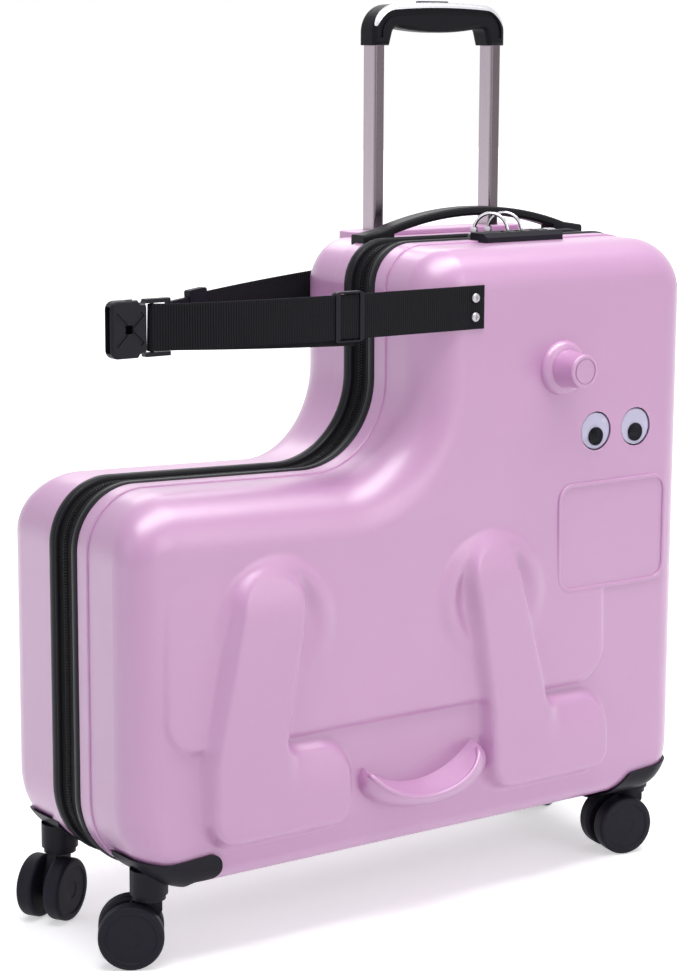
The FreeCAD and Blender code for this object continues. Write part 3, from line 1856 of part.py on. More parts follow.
# Hinge: a cord along the head end on which the halves fold, held by a web to the far tape.
hinge_x = "case_length/2+hinge_out"
cord = cylinder("Cord", "hinge_cord", "hinge_high-hinge_low", hinge_x, "0", "hinge_low")
cord_web = box(
    "CordWeb",
    "hinge_out+tape_inset-coil_raise-tape_gap*0.2",
    "hinge_web",
    "hinge_high-hinge_low",
    "case_length/2-tape_inset+coil_raise+tape_gap*0.2",
    "2*tape_gap",
    "hinge_low",
)
node("hinge_cord", fuse("HingeCord", [cord, cord_web]))

# Casters: bracket on the shell's corner, fork with its pin, axle and two wheels.
# Bracket outlines: shares of the bracket's length and rise, then the corner's radius as a share of the rise.
BRACKET_REAR_SHARES = [
    (0.0, 1.0, 0.0),
    (0.0, -0.12, 0.0),
    (0.64, -0.12, 0.0),
    (0.655, 0.2, 0.3),
    (1.0, 0.2, 0.31),
    (1.0, 0.86, 0.31),
    (0.42, 0.77, 1.2),
]
BRACKET_FRONT_SHARES = [
    (0.0, 0.73, 0.0),
    (0.74, 0.58, 0.4),
    (0.97, 0.06, 0.45),
    (1.22, -0.06, 0.0),
    (1.22, -0.12, 0.0),
    (0.0, -0.12, 0.0),
]
skin_blank = case_blank("SkinBlank", "lip_step-bracket_thick", "root_depth", "bracket_thick")
bracket_skin = cut("BracketSkin", skin_blank, clear_form)


def bracket(name, end, shares, way):
    """Corner bracket on the near side; way is 1 when its shares run towards +X from the end."""
    points = [
        (f"({end})+({way})*({x}*bracket_length-1.5*bracket_thick)", f"ground_gap+({z})*bracket_rise")
        for x, z, radius in shares
    ]
    sharp = extrusion(name + "Region", "XZ_Plane", [points], "half_depth", y="-bracket_from_zip")
    radius_of = corner_radii(points, [radius for x, z, radius in shares], "bracket_rise")
    region = round_edges(
        name + "Corners", sharp, lambda edge: across(edge) and radius_of(edge) > 0, radius_of
    )
    skin = common(name + "Skin", region, bracket_skin)
    taper = extrusion(
        name + "Taper",
        "YZ_Plane",
        [
            [
                ("-bracket_from_zip-bracket_rise*1.5", "ground_gap-bracket_rise"),
                ("-bracket_from_zip+cut_over", "ground_gap-bracket_rise"),
                ("-bracket_from_zip+cut_over", "ground_gap+bracket_rise*0.98"),
                ("-bracket_from_zip-bracket_rise*1.5", "ground_gap+bracket_rise*0.42"),
            ]
        ],
        "caster_inset",
        x=f"({end})+({way})*(caster_inset-bracket_boss)*0.9-(1+({way}))/2*caster_inset",
    )
    tapered = cut(name + "Tapered", skin, taper)
    centre = f"({end})+({way})*caster_inset"
    boss = cylinder(
        name + "Boss", "bracket_boss", "ground_gap+bracket_rise*0.5-bracket_boss_low", centre,
        "-caster_y", "bracket_boss_low",
    )
    boss_on_shell = cut(name + "BossOnShell", boss, clear_form)
    bore = cylinder(
        name + "Bore", "pin_radius+pin_fit", "pin_high+2*cap_gap", centre, "-caster_y",
        "bracket_boss_low-cap_gap",
    )
    return cut(name, fuse(name + "Solid", [tapered, boss_on_shell]), bore)


bracket_rear = bracket("BracketRear", "-case_length/2", BRACKET_REAR_SHARES, "1")
bracket_front = bracket("BracketFront", "case_length/2", BRACKET_FRONT_SHARES, "-1")
node("caster_bracket_near_rear", bracket_rear)
node("caster_bracket_near_front", bracket_front)
node("caster_bracket_far_rear", mirror("BracketFarRear", bracket_rear))
node("caster_bracket_far_front", mirror("BracketFarFront", bracket_front))

cap_top = "bracket_boss_low-cap_gap"
cap_low = f"{cap_top}-cap_high"
fork_cap = cylinder("ForkCap", "cap_radius", "cap_high", "0", "0", cap_low)
fork_pin = cylinder("ForkPin", "pin_radius", "cap_high+pin_high", "0", "0", cap_low)
fork_web = extrusion(
    "ForkWeb",
    "XZ_Plane",
    [
        [
            ("web_plate_reach", f"{cap_low}+cap_high/2"),
            ("-cap_radius*0.9", f"{cap_low}+cap_high/2"),
            ("-trail-hub_boss", "wheel_radius+hub_boss*0.5"),
            ("-trail-hub_boss", "wheel_radius-hub_boss*0.4"),
            ("-trail-hub_boss*0.4", "wheel_radius-hub_boss"),
            ("-trail+hub_boss*0.4", "wheel_radius-hub_boss"),
            ("-trail+hub_boss", "wheel_radius-hub_boss*0.4"),
            ("web_plate_reach", f"{cap_low}-hub_boss"),
        ]
    ],
    "web_plate",
    y="web_plate/2",
)
axle_length = "web_plate+2*wheel_gap+1.6*wheel_width"
fork_hole = cylinder(
    "ForkHole", "axle_radius+axle_fit", "4*web_plate", "-trail", "2*web_plate", "wheel_radius",
    (1, 0, 0), "90",
)
fork = cut("Fork", fuse("ForkSolid", [fork_cap, fork_pin, fork_web]), fork_hole)
axle = cylinder(
    "Axle", "axle_radius", axle_length, "-trail", f"({axle_length})/2", "wheel_radius", (1, 0, 0), "90"
)
wheel = new_body("Wheel")
wheel_sketch = outline(
    wheel,
    "WheelOutline",
    "XY_Plane",
    [
        ("axle_radius+axle_fit", "0"),
        ("wheel_radius-wheel_soft", "0", "wheel_soft", 1),
        ("wheel_radius", "wheel_soft"),
        ("wheel_radius", "wheel_width-wheel_soft", "wheel_soft", 1),
        ("wheel_radius-wheel_soft", "wheel_width"),
        ("wheel_face_ring", "wheel_width"),
        ("wheel_face_ring-wheel_face_step", "wheel_width-wheel_face_step"),
        ("wheel_hub", "wheel_width-wheel_face_step"),
        ("wheel_hub-wheel_face_step", "wheel_width-wheel_hub_deep"),
        ("0", "wheel_width-wheel_hub_deep"),
        ("0", "0.8*wheel_width+wheel_gap*0.3"),
        ("axle_radius+axle_fit", "0.8*wheel_width+wheel_gap*0.3"),
    ],
)
revolve(wheel, "WheelTurn", wheel_sketch, "Y_Axis")

for row, side in (("rear", "near"), ("front", "near"), ("rear", "far"), ("front", "far")):
    spot = f"{side}_{row}"
    angle = f"swivel_{spot}"
    x = "-case_length/2+caster_inset" if row == "rear" else "case_length/2-caster_inset"
    y = "-caster_y" if side == "near" else "caster_y"
    tag = side.title() + row.title()
    node("caster_fork_" + spot, turned("Fork" + tag, fork, x, y, "0", (0, 0, 1), angle))
    node("caster_axle_" + spot, turned("Axle" + tag, axle, x, y, "0", (0, 0, 1), angle))
    for sign, turn in (("1", "0"), ("-1", "180")):
        reach = f"({sign})*(web_plate/2+wheel_gap)"
        outwards = (sign == "1") == (math.cos(math.radians(number(angle))) > 0)
        where = "outer" if outwards == (side == "far") else "inner"
        node(
            f"caster_wheel_{spot}_{where}",
            turned(
                f"Wheel{tag}{where.title()}",
                wheel,
                f"{x}-trail*cos({angle})-({reach})*sin({angle})",
                f"{y}-trail*sin({angle})+({reach})*cos({angle})",
                "wheel_radius",
                (0, 0, 1),
                f"{angle}+{turn}",
            ),
        )

doc.recompute()

problems = []
for item in doc.Objects:
    if "Invalid" in item.State or "Error" in item.State:
        problems.append(f"{item.Name} {item.State}")
for label, item in nodes.items():
    if item.Shape.isNull() or not item.Shape.isValid():
        problems.append(f"{label} has no valid shape")
if problems:
    raise RuntimeError("; ".join(problems))
os.makedirs("parts", exist_ok=True)
for label, item in nodes.items():
    item.Shape.exportStep(f"parts/{label}.step")
print(len(nodes), "nodes")
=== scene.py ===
import bisect
import json
import math

import bmesh
import bpy
import numpy as np
from mathutils import Matrix, Vector

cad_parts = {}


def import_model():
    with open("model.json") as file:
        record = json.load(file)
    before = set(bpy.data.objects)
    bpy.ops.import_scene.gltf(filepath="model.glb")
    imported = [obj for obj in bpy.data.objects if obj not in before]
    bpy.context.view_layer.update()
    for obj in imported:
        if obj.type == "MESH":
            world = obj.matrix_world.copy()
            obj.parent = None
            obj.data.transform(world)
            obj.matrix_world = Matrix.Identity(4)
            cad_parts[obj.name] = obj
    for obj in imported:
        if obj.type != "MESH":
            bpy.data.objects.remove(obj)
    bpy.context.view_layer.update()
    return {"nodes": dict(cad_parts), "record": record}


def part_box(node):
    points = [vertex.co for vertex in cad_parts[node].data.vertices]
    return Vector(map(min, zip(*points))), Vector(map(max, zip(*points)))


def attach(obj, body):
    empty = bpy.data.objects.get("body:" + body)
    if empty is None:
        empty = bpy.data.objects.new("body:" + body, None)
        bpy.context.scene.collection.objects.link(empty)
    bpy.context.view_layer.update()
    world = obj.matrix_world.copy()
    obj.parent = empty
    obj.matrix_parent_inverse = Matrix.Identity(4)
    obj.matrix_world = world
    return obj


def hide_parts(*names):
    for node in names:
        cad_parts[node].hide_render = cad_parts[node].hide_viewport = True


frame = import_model()
NODES = frame["nodes"]

# Sizes in metres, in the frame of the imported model.
RIM_OUTSET = 0.0016
SEAT_FRONT = 0.3865
SEAT_REAR = 0.3965
NECK_X = 0.0
CORNER_HEEL = 0.070
CORNER_TOE = 0.045
CORNER_CROWN = 0.050
CORNER_NAPE = 0.038
CORNER_NECK = 0.075
CORNER_RUMP = 0.053
ROUND_BOTTOM = 0.014
ROUND_END = 0.028
ROUND_SEAT = 0.046
ROUND_NECK = 0.038
ROUND_TOP = 0.034
HALF_DEPTH = 0.104
PATH_STEP = 0.006
LEAST_ARC_STEPS = 6

UP = Vector((0, 0, 1))
ACROSS = Vector((0, 1, 0))


# Case outline

class Track:
    """A line of places, each with its outward direction, that can be read at any distance along it."""

    def __init__(self, points, outs, closed):
        self.points = points
        self.outs = outs
        self.closed = closed
        ring = points + points[:1] if closed else points
        self.marks = [0.0]
        for first, last in zip(ring, ring[1:]):
            self.marks.append(self.marks[-1] + (last - first).length)
        self.length = self.marks[-1]

    def at(self, distance):
        """(place, outward direction, way) at a distance along the track."""
        distance = distance % self.length if self.closed else min(max(distance, 0.0), self.length)
        low = min(bisect.bisect_right(self.marks, distance), len(self.marks) - 1) - 1
        after = (low + 1) % len(self.points)
        share = (distance - self.marks[low]) / max(self.marks[low + 1] - self.marks[low], 1e-9)
        place = self.points[low].lerp(self.points[after], share)
        out = self.outs[low].lerp(self.outs[after], share).normalized()
        way = (self.points[after] - self.points[low]).normalized()
        return place, out, way


def case_track():
    """The outline of the case in the zip plane, and the side wall's rounding at each of its points."""
    rim_low, rim_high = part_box("near_piping")
    rear, front = rim_low.x + RIM_OUTSET, rim_high.x - RIM_OUTSET
    low, high = rim_low.z + RIM_OUTSET, rim_high.z - RIM_OUTSET
    corners = [
        (rear, low, CORNER_HEEL, ROUND_BOTTOM),
        (front, low, CORNER_TOE, ROUND_END),
        (front, high, CORNER_CROWN, ROUND_TOP),
        (NECK_X, high, CORNER_NAPE, ROUND_NECK),
        (NECK_X, SEAT_FRONT, CORNER_NECK, ROUND_SEAT),
        (rear, SEAT_REAR, CORNER_RUMP, ROUND_END),
    ]
    places = [Vector((x, 0, z)) for x, z, radius, side_after in corners]
    ways = [(after - place).normalized() for place, after in zip(places, places[1:] + places[:1])]
    points, outs, sides = [], [], []
    for index, (x, z, radius, side_after) in enumerate(corners):
        side_before = corners[index - 1][-1]
        way_in, way_out = ways[index - 1], ways[index]
        turn = math.atan2(way_in.x * way_out.z - way_in.z * way_out.x, way_in.dot(way_out))
        reach = radius * math.tan(abs(turn) / 2)
        bend = 1 if turn > 0 else -1
        start = places[index] - way_in * reach
        out = Vector((way_in.z, 0, -way_in.x))
        centre = start - out * radius * bend
        steps = max(LEAST_ARC_STEPS, math.ceil(radius * abs(turn) / PATH_STEP))
        for count in range(steps + 1):
            share = count / steps
            direction = Matrix.Rotation(-turn * share, 3, "Y") @ out
            points.append(centre + direction * radius * bend)
            outs.append(direction)
            sides.append(side_before + (side_after - side_before) * share)
        end = places[index] + way_out * reach
        after = (index + 1) % len(corners)
        next_radius = corners[after][2]
        next_turn = math.acos(max(-1.0, min(1.0, way_out.dot(ways[after]))))
        stop = places[after] - way_out * next_radius * math.tan(next_turn / 2)
        pieces = max(1, math.ceil((stop - end).length / PATH_STEP))
        for count in range(1, pieces):
            points.append(end.lerp(stop, count / pieces))
            outs.append(Vector((way_out.z, 0, -way_out.x)))
            sides.append(side_after)
    return Track(points, outs, True), sides


CASE, CASE_SIDES = case_track()


# Mesh building

def place_in_scene(name, data):
    item = bpy.data.objects.new(name, data)
    bpy.context.scene.collection.objects.link(item)
    return item


def mesh_piece(name, vertices, faces, smooth_angle=35.0):
    mesh = bpy.data.meshes.new(name)
    mesh.from_pydata([tuple(v) for v in vertices], [], faces)
    mesh.validate()
    mesh.shade_smooth()
    mesh.set_sharp_from_angle(angle=math.radians(smooth_angle))
    return place_in_scene(name, mesh)


def sweep(rings, closed_path, closed_profile, capped=False):
    """Vertices and faces of a skin through rings of points that all have the same count."""
    count = len(rings[0])
    vertices = [point for ring in rings for point in ring]
    faces = []
    spans = len(rings) if closed_path else len(rings) - 1
    sides = count if closed_profile else count - 1
    for ring in range(spans):
        here = ring * count
        there = ((ring + 1) % len(rings)) * count
        for side in range(sides):
            after = (side + 1) % count
            faces.append((here + side, here + after, there + after, there + side))
    if capped and not closed_path:
        faces.append(tuple(range(count))[::-1])
        faces.append(tuple((len(rings) - 1) * count + side for side in range(count)))
    return vertices, faces


def join(parts):
    """One list of vertices and faces from several."""
    vertices, faces = [], []
    for part_vertices, part_faces in parts:
        base = len(vertices)
        vertices.extend(part_vertices)
        faces.extend(tuple(base + index for index in face) for face in part_faces)
    return vertices, faces


def dress(piece, body, slot, material, *replaced):
    piece.data.materials.clear()
    piece.data.materials.append(material)
    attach(piece, body)
    if replaced:
        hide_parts(*replaced)
    return piece


# Materials

# The range of a texture's values that its changes of colour and gloss go over.
MIDDLE_LOW, MIDDLE_HIGH = 0.3, 0.7
DRIFT_SCALE = 9.0
HAZE_SCALE = 55.0
HAZE_DETAIL = 3.0
HAZE_BELOW, HAZE_ABOVE = 0.03, 0.04
GRAIN_DEPTH = 0.0002
POLISHED = (60.0, 60.0, 60.0)
DRAWN = (90.0, 90.0, 1.5)
STREAK_NOISE = {"scale": 14.0, "detail": 3.0, "roughness": 0.6}
STREAK_DARK, STREAK_PALE = 0.96, 1.03
CLOTH_GLOSS = 0.10
SHEEN_ROUGHNESS = 0.5
WEAVE_WAVE = {"Distortion": 0.6, "Detail": 1.0, "Detail Scale": 3.0}
WEAVE_DARK, WEAVE_PALE = 0.75, 1.2
WEAVE_BUMP = 0.5
WEAVE_DEPTH = 0.00025
FUZZ_SCALE = 300.0
FUZZ_BELOW, FUZZ_ABOVE = 0.06, 0.08
# The repeat of a wave texture of scale 1.
WAVE_REPEAT = math.pi / 10
WEB_RIB_PITCH = 0.0022
RIB_WAVE = {"Distortion": 0.5, "Detail": 2.0, "Detail Scale": 4.0}
# Painted shade and painted light of the ribs: factors on the webbing's colour for its hollows and crests.
RIB_PAINTED_SHADE, RIB_PAINTED_LIGHT = 0.45, 2.0
RIB_SHEEN = 0.03
THREAD_STRETCH = (900.0, 900.0, 2600.0)
THREAD_ROUGHNESS = (0.60, 0.80)
THREAD_BUMP = 0.4
THREAD_DEPTH = 0.0001
NICKEL_SIDE = (0.42, 0.355, 0.405)
# Painted shade: the darker colour given to the tube's faces that turn to ±Y.
NICKEL_PAINTED_SHADE = (0.13, 0.105, 0.12)
NICKEL_ROUGHNESS = 0.20
NICKEL_SPREAD = 0.10
DOME_COLOR = (0.97, 0.98, 1.0, 1.0)
DOME_IOR = 1.01
DOME_HAZE_SCALE = 120.0
DOME_ROUGHNESS = (0.02, 0.05)


def start_material(name, **values):
    """A principled material with the given socket values; returns it with its tree and shader."""
    made = bpy.data.materials.new(name)
    made.use_nodes = True
    tree = made.node_tree
    shader = tree.nodes["Principled BSDF"]
    for socket, value in values.items():
        shader.inputs[socket.replace("_", " ")].default_value = value
    return made, tree, shader


def add(tree, kind, inputs=None, **settings):
    node = tree.nodes.new(kind)
    for name, value in settings.items():
        setattr(node, name, value)
    for name, value in (inputs or {}).items():
        node.inputs[name].default_value = value
    return node


def object_place(tree, scale=(1, 1, 1)):
    """Object coordinates, stretched by a scale."""
    source = add(tree, "ShaderNodeTexCoord")
    mapping = add(tree, "ShaderNodeMapping", {"Scale": scale})
    tree.links.new(source.outputs["Object"], mapping.inputs["Vector"])
    return mapping.outputs["Vector"]


def noise(tree, place, scale, detail=2.0, roughness=0.5):
    node = add(tree, "ShaderNodeTexNoise", {"Scale": scale, "Detail": detail, "Roughness": roughness})
    tree.links.new(place, node.inputs["Vector"])
    return node.outputs["Fac"]


def gloss(tree, shader, source, low, high):
    """Roughness from low to high as the source goes over the middle of its range."""
    node = add(
        tree,
        "ShaderNodeMapRange",
        {"From Min": MIDDLE_LOW, "From Max": MIDDLE_HIGH, "To Min": low, "To Max": high},
    )
    tree.links.new(source, node.inputs["Value"])
    tree.links.new(node.outputs["Result"], shader.inputs["Roughness"])


def tint(tree, shader, source, first, last):
    """Base colour between two colours as the source goes over the middle of its range."""
    ramp = add(tree, "ShaderNodeValToRGB")
    ramp.color_ramp.elements[0].position = MIDDLE_LOW
    ramp.color_ramp.elements[1].position = MIDDLE_HIGH
    ramp.color_ramp.elements[0].color = (*first, 1)
    ramp.color_ramp.elements[1].color = (*last, 1)
    tree.links.new(source, ramp.inputs["Fac"])
    tree.links.new(ramp.outputs["Color"], shader.inputs["Base Color"])


def bump(tree, shader, height, strength, distance):
    node = add(tree, "ShaderNodeBump", {"Strength": strength, "Distance": distance})
    tree.links.new(height, node.inputs["Height"])
    tree.links.new(node.outputs["Normal"], shader.inputs["Normal"])


def shade(color, factor):
    return tuple(min(1.0, channel * factor) for channel in color)


def wave(tree, place, scale, direction, form):
    node = add(tree, "ShaderNodeTexWave", {"Scale": scale, **form}, bands_direction=direction)
    tree.links.new(place, node.inputs["Vector"])
    return node.outputs["Fac"]


def moulded(name, color, roughness, grain_scale, grain_strength, specular, change=0.03, **values):
    """Moulded plastic: a fine spark-eroded grain, with slight drifts of colour and gloss."""
    made, tree, shader = start_material(name, Specular_IOR_Level=specular, **values)
    place = object_place(tree)
    drift = noise(tree, place, DRIFT_SCALE)
    tint(tree, shader, drift, shade(color, 1 - change), shade(color, 1 + change))
    haze = noise(tree, place, HAZE_SCALE, HAZE_DETAIL)
    gloss(tree, shader, haze, roughness - HAZE_BELOW, roughness + HAZE_ABOVE)
    bump(tree, shader, noise(tree, place, grain_scale), grain_strength, GRAIN_DEPTH)
    return made


def plated(name, color, roughness, streak=POLISHED, spread_by=0.05):
    """Bright metal with faint polishing streaks."""
    made, tree, shader = start_material(name, Metallic=1.0)
    lines = noise(tree, object_place(tree, streak), **STREAK_NOISE)
    tint(tree, shader, lines, shade(color, STREAK_DARK), shade(color, STREAK_PALE))
    gloss(tree, shader, lines, roughness, roughness + spread_by)
    return made


def woven(name, color, across, along, roughness, sheen):
    """Cloth: two crossed sets of threads, with tufts of slightly different tone."""
    made, tree, shader = start_material(
        name, Specular_IOR_Level=CLOTH_GLOSS, Sheen_Weight=sheen, Sheen_Roughness=SHEEN_ROUGHNESS
    )
    place = object_place(tree)
    weave = add(tree, "ShaderNodeMath", operation="MULTIPLY")
    tree.links.new(wave(tree, place, across, "Z", WEAVE_WAVE), weave.inputs[0])
    tree.links.new(wave(tree, place, along, "DIAGONAL", WEAVE_WAVE), weave.inputs[1])
    height = weave.outputs["Value"]
    tint(tree, shader, height, shade(color, WEAVE_DARK), shade(color, WEAVE_PALE))
    fuzz = noise(tree, place, FUZZ_SCALE)
    gloss(tree, shader, fuzz, roughness - FUZZ_BELOW, roughness + FUZZ_ABOVE)
    bump(tree, shader, height, WEAVE_BUMP, WEAVE_DEPTH)
    return made


def ribbed(name, color, pitch):
    """Webbing: ribs across its length, each a row of fine threads, with stripes of painted shade and
    painted light across it for the ribs' hollows and crests.
    """
    made, tree, shader = start_material(
        name, Specular_IOR_Level=CLOTH_GLOSS, Sheen_Weight=RIB_SHEEN, Sheen_Roughness=SHEEN_ROUGHNESS
    )
    ribs = wave(tree, object_place(tree), WAVE_REPEAT / pitch, "X", RIB_WAVE)
    # Painted light and shade: stripes darker and lighter across the webbing.
    tint(tree, shader, ribs, shade(color, RIB_PAINTED_SHADE), shade(color, RIB_PAINTED_LIGHT))
    threads = noise(tree, object_place(tree, THREAD_STRETCH), 1.0)
    gloss(tree, shader, threads, *THREAD_ROUGHNESS)
    bump(tree, shader, threads, THREAD_BUMP, THREAD_DEPTH)
    return made


def tube_nickel():
    """Nickel plated tube: bright drawn sides, with a darker base colour painted on the faces turned to ±Y
    as painted shade.
    """
    made = plated("tube_nickel", NICKEL_SIDE, NICKEL_ROUGHNESS, DRAWN, NICKEL_SPREAD)
    tree = made.node_tree
    shader = tree.nodes["Principled BSDF"]
    side_color = shader.inputs["Base Color"].links[0].from_socket
    # Painted shade: the more a face turns to ±Y, the darker its colour.
    facing = add(tree, "ShaderNodeTexCoord")
    split = add(tree, "ShaderNodeSeparateXYZ")
    tree.links.new(facing.outputs["Normal"], split.inputs["Vector"])
    painted_shade_share = add(tree, "ShaderNodeMath", operation="ABSOLUTE")
    tree.links.new(split.outputs["Y"], painted_shade_share.inputs[0])
    mix = add(tree, "ShaderNodeMix", data_type="RGBA")
    tree.links.new(painted_shade_share.outputs["Value"], mix.inputs["Factor"])
    tree.links.new(side_color, mix.inputs["A"])
    mix.inputs["B"].default_value = (*NICKEL_PAINTED_SHADE, 1)
    tree.links.new(mix.outputs["Result"], shader.inputs["Base Color"])
    return made


def clear_dome():
    """Clear moulded plastic."""
    made, tree, shader = start_material(
        "clear_dome", Base_Color=DOME_COLOR, Transmission_Weight=1.0, IOR=DOME_IOR
    )
    haze = noise(tree, object_place(tree), DOME_HAZE_SCALE)
    gloss(tree, shader, haze, *DOME_ROUGHNESS)
    return made


# Plastics: colour, roughness, scale and strength of the grain, specular level and, for the eyes, the
# drift of colour.
PLASTICS = {
    "black_plastic": ((0.0105, 0.0095, 0.0150), 0.40, 1800.0, 0.10, 0.14),
    "wheel_rubber": ((0.0125, 0.0118, 0.0190), 0.50, 900.0, 0.12, 0.14),
    "piping_vinyl": ((0.0100, 0.0096, 0.0130), 0.36, 2200.0, 0.08, 0.16),
    "handle_rubber": ((0.0080, 0.0076, 0.0102), 0.38, 1600.0, 0.10, 0.14),
    "grip_rubber": ((0.0055, 0.0050, 0.0072), 0.45, 1600.0, 0.10, 0.10),
    "coil_nylon": ((0.0085, 0.0080, 0.0105), 0.32, 1500.0, 0.05, 0.18),
    "sewing_thread": ((0.0120, 0.0115, 0.0150), 0.75, 1800.0, 0.3, 0.12),
    "eye_white": ((0.38, 0.35, 0.455), 0.25, 900.0, 0.02, 0.5, 0.01),
    "pupil_black": ((0.004, 0.0038, 0.0065), 0.2, 900.0, 0.02, 0.1),
    "digit_white": ((0.75, 0.75, 0.77), 0.5, 1500.0, 0.05, 0.5),
}
# Metals: colour, roughness and, for drawn tube, the stretch of its streaks.
METALS = {
    "bright_chrome": ((0.62, 0.61, 0.64), 0.14),
    "trim_chrome": ((0.74, 0.73, 0.78), 0.22),
    "screw_steel": ((0.40, 0.39, 0.41), 0.30),
    "plain_steel": ((0.52, 0.52, 0.53), 0.28),
    "drawn_aluminium": ((0.62, 0.62, 0.64), 0.30, DRAWN),
}
plastic = {name: moulded(name, *row) for name, row in PLASTICS.items()}
metal = {name: plated(name, *row) for name, row in METALS.items()}
shell_paint = moulded(
    "shell_satin",
    color=(0.530, 0.273, 0.488),
    roughness=0.36,
    grain_scale=1500.0,
    grain_strength=0.05,
    specular=0.8,
    change=0.015,
    Coat_Weight=0.8,
    Coat_Roughness=0.30,
)
zip_cloth = woven(
    "zip_cloth", (0.0026, 0.0024, 0.0034), across=700.0, along=520.0, roughness=0.82, sheen=0.05
)
lining_cloth = woven(
    "lining_cloth", (0.16, 0.145, 0.175), across=420.0, along=420.0, roughness=0.85, sheen=0.3
)
webbing_cloth = ribbed("webbing_cloth", (0.0062, 0.0059, 0.0076), WEB_RIB_PITCH)

FINISHES = {
    "shell": shell_paint,
    "black_plastic": plastic["black_plastic"],
    "piping": plastic["piping_vinyl"],
    "zip_tape": zip_cloth,
    "lining": lining_cloth,
    "webbing": webbing_cloth,
    "chrome": metal["bright_chrome"],
    "steel": metal["plain_steel"],
    "aluminium": metal["drawn_aluminium"],
    "eye_white": plastic["eye_white"],
    "eye_clear": clear_dome(),
    "pupil": plastic["pupil_black"],
    "wheel": plastic["wheel_rubber"],
}
OWN_FINISHES = {
    "trolley_inner_tubes": tube_nickel(),
    "carry_handle": plastic["handle_rubber"],
    "trolley_grip": plastic["grip_rubber"],
    "trolley_bezel": shell_paint,
    "near_belt_fixings": metal["screw_steel"],
    "far_belt_fixings": metal["screw_steel"],
}

for row in frame["record"]["subparts"]:
    name = row["node"]
    item = NODES[name]
    item.data.materials.clear()
    item.data.materials.append(OWN_FINISHES.get(name, FINISHES[row["material_slot"]]))


# Shells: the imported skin, with the raised forms of its sides as one soft moulding

SKIN_SLACK = 0.0002
SKIN_STEP = 0.002
# The moulding's patch on the flat side, with corners left out at the heel and the seat.
PATCH_REAR, PATCH_FRONT = -0.2715, 0.212
PATCH_LOW, PATCH_HIGH = 0.086, 0.3435
HEEL_NOTCH_X, HEEL_NOTCH_Z = -0.236, 0.140
SEAT_NOTCH_X, SEAT_NOTCH_Z = -0.095, 0.340
BELLY_REAR, BELLY_FRONT = -0.2685, 0.202
BELLY_LOW = 0.1805
BELLY_RISE = 0.1495
BELLY_RAISE = 0.0042
BELLY_CORNER = 0.033
BELLY_ROUND = 0.006
LEG_FOOT = 0.143
LEG_RISE = 0.228
LEG_SOLE = 0.0985
LEG_RAISE = 0.0155
LEG_EDGE_OUT = 0.006
LEG_EDGE_IN = 0.007
LEG_BLEND = 0.0035
SLOPE_FALL = 0.030
SLOPE_EASE = 0.0078
FOOT_BLEND = 0.022
FOOT_OVER = 0.003
FOOT_FADE = 0.010
CORNER_STEPS = 10
# Leg outlines: shares of the foot's length, of the leg's rise and, for the corner, of the foot's length.
REAR_LEG_SHARES = [
    (0.238, 1.0, 0.215),
    (0.713, 1.0, 0.215),
    (0.538, 0.328, 0.06),
    (0.993, 0.32, 0.21),
    (1.0, 0.0, 0.14),
    (0.0, 0.0, 0.18),
    (0.0, 0.315, 0.28),
]
FRONT_LEG_SHARES = [
    (-0.175, 0.99, 0.17),
    (0.19, 0.99, 0.17),
    (0.483, 0.324, 0.06),
    (0.98, 0.32, 0.21),
    (0.99, 0.0, 0.14),
    (0.028, 0.0, 0.18),
    (0.0, 0.33, 0.28),
]
LEGS = [(-0.230, REAR_LEG_SHARES), (0.060, FRONT_LEG_SHARES)]
ARCHES = [(-0.159, 0.277), (0.070, 0.274)]
ARCH_RING = 0.048
ARCH_WIDE = 0.015
ARCH_RAISE = 0.0030
ARCH_LEAN = 0.050
REST_X, REST_Z = -0.0055, 0.1295
REST_HALF, REST_DROP, REST_OUT = 0.068, 0.031, 0.0305
REST_SLACK_SHARE = 1.03
# The footrest's scoop: a round cut whose axis leans, from the place of its axis in the flat side.
SCOOP_X, SCOOP_Z = -0.0138, 0.217
SCOOP_RADIUS = 0.090
SCOOP_LEAN = math.radians(20.0)
LIP_RADIUS = 0.0026
LIP_INSET = 0.0014
LIP_STEPS = 48
LIP_SIDES = 10
LIP_HALVINGS = 40
PANEL_LOW, PANEL_HIGH = (0.145, 0.2655), (0.274, 0.3655)
PANEL_CORNER = 0.016
BEAD_HALF = 0.0019
BEAD_RAISE = 0.0019
BEAD_ROOT = 0.0008
BEAD_STEPS = 12
BEAD_SQUARE_SHARE = 0.6


def rounded(points, radii):
    """The outline through the points, with each corner drawn as an arc."""
    ring = []
    for index, (corner, radius) in enumerate(zip(points, radii)):
        to_last = (points[index - 1] - corner).normalized()
        to_next = (points[(index + 1) % len(points)] - corner).normalized()
        half = to_last.angle(to_next) / 2
        reach = radius / math.tan(half)
        centre = corner + (to_last + to_next).normalized() * radius / math.sin(half)
        first = corner + to_last * reach - centre
        last = corner + to_next * reach - centre
        for count in range(CORNER_STEPS + 1):
            ring.append(centre + first.lerp(last, count / CORNER_STEPS).normalized() * radius)
    return ring


def depth_inside(outline, x, z):
    """How far each place lies inside an outline; negative outside it."""
    nearest = np.full(x.shape, LEG_RISE)
    inside = np.zeros(x.shape, bool)
    for first, last in zip(outline, outline[1:] + outline[:1]):
        run = last - first
        share = ((x - first.x) * run.x + (z - first.y) * run.y) / max(run.length_squared, 1e-12)
        share = np.clip(share, 0, 1)
        nearest = np.minimum(nearest, np.hypot(x - first.x - share * run.x, z - first.y - share * run.y))
        crossed = (first.y > z) != (last.y > z)
        inside ^= crossed & (x < first.x + (z - first.y) * run.x / (run.y or 1.0))
    return np.where(inside, nearest, -nearest)


def ease(share):
    share = np.clip(share, 0, 1)
    return share**3 * (share * (share * 6 - 15) + 10)


def lower_of(first, second, blend):
    """The lower of two heights, rounded where they cross."""
    share = np.clip(0.5 + (second - first) / (2 * blend), 0, 1)
    return second * (1 - share) + first * share - blend * share * (1 - share)


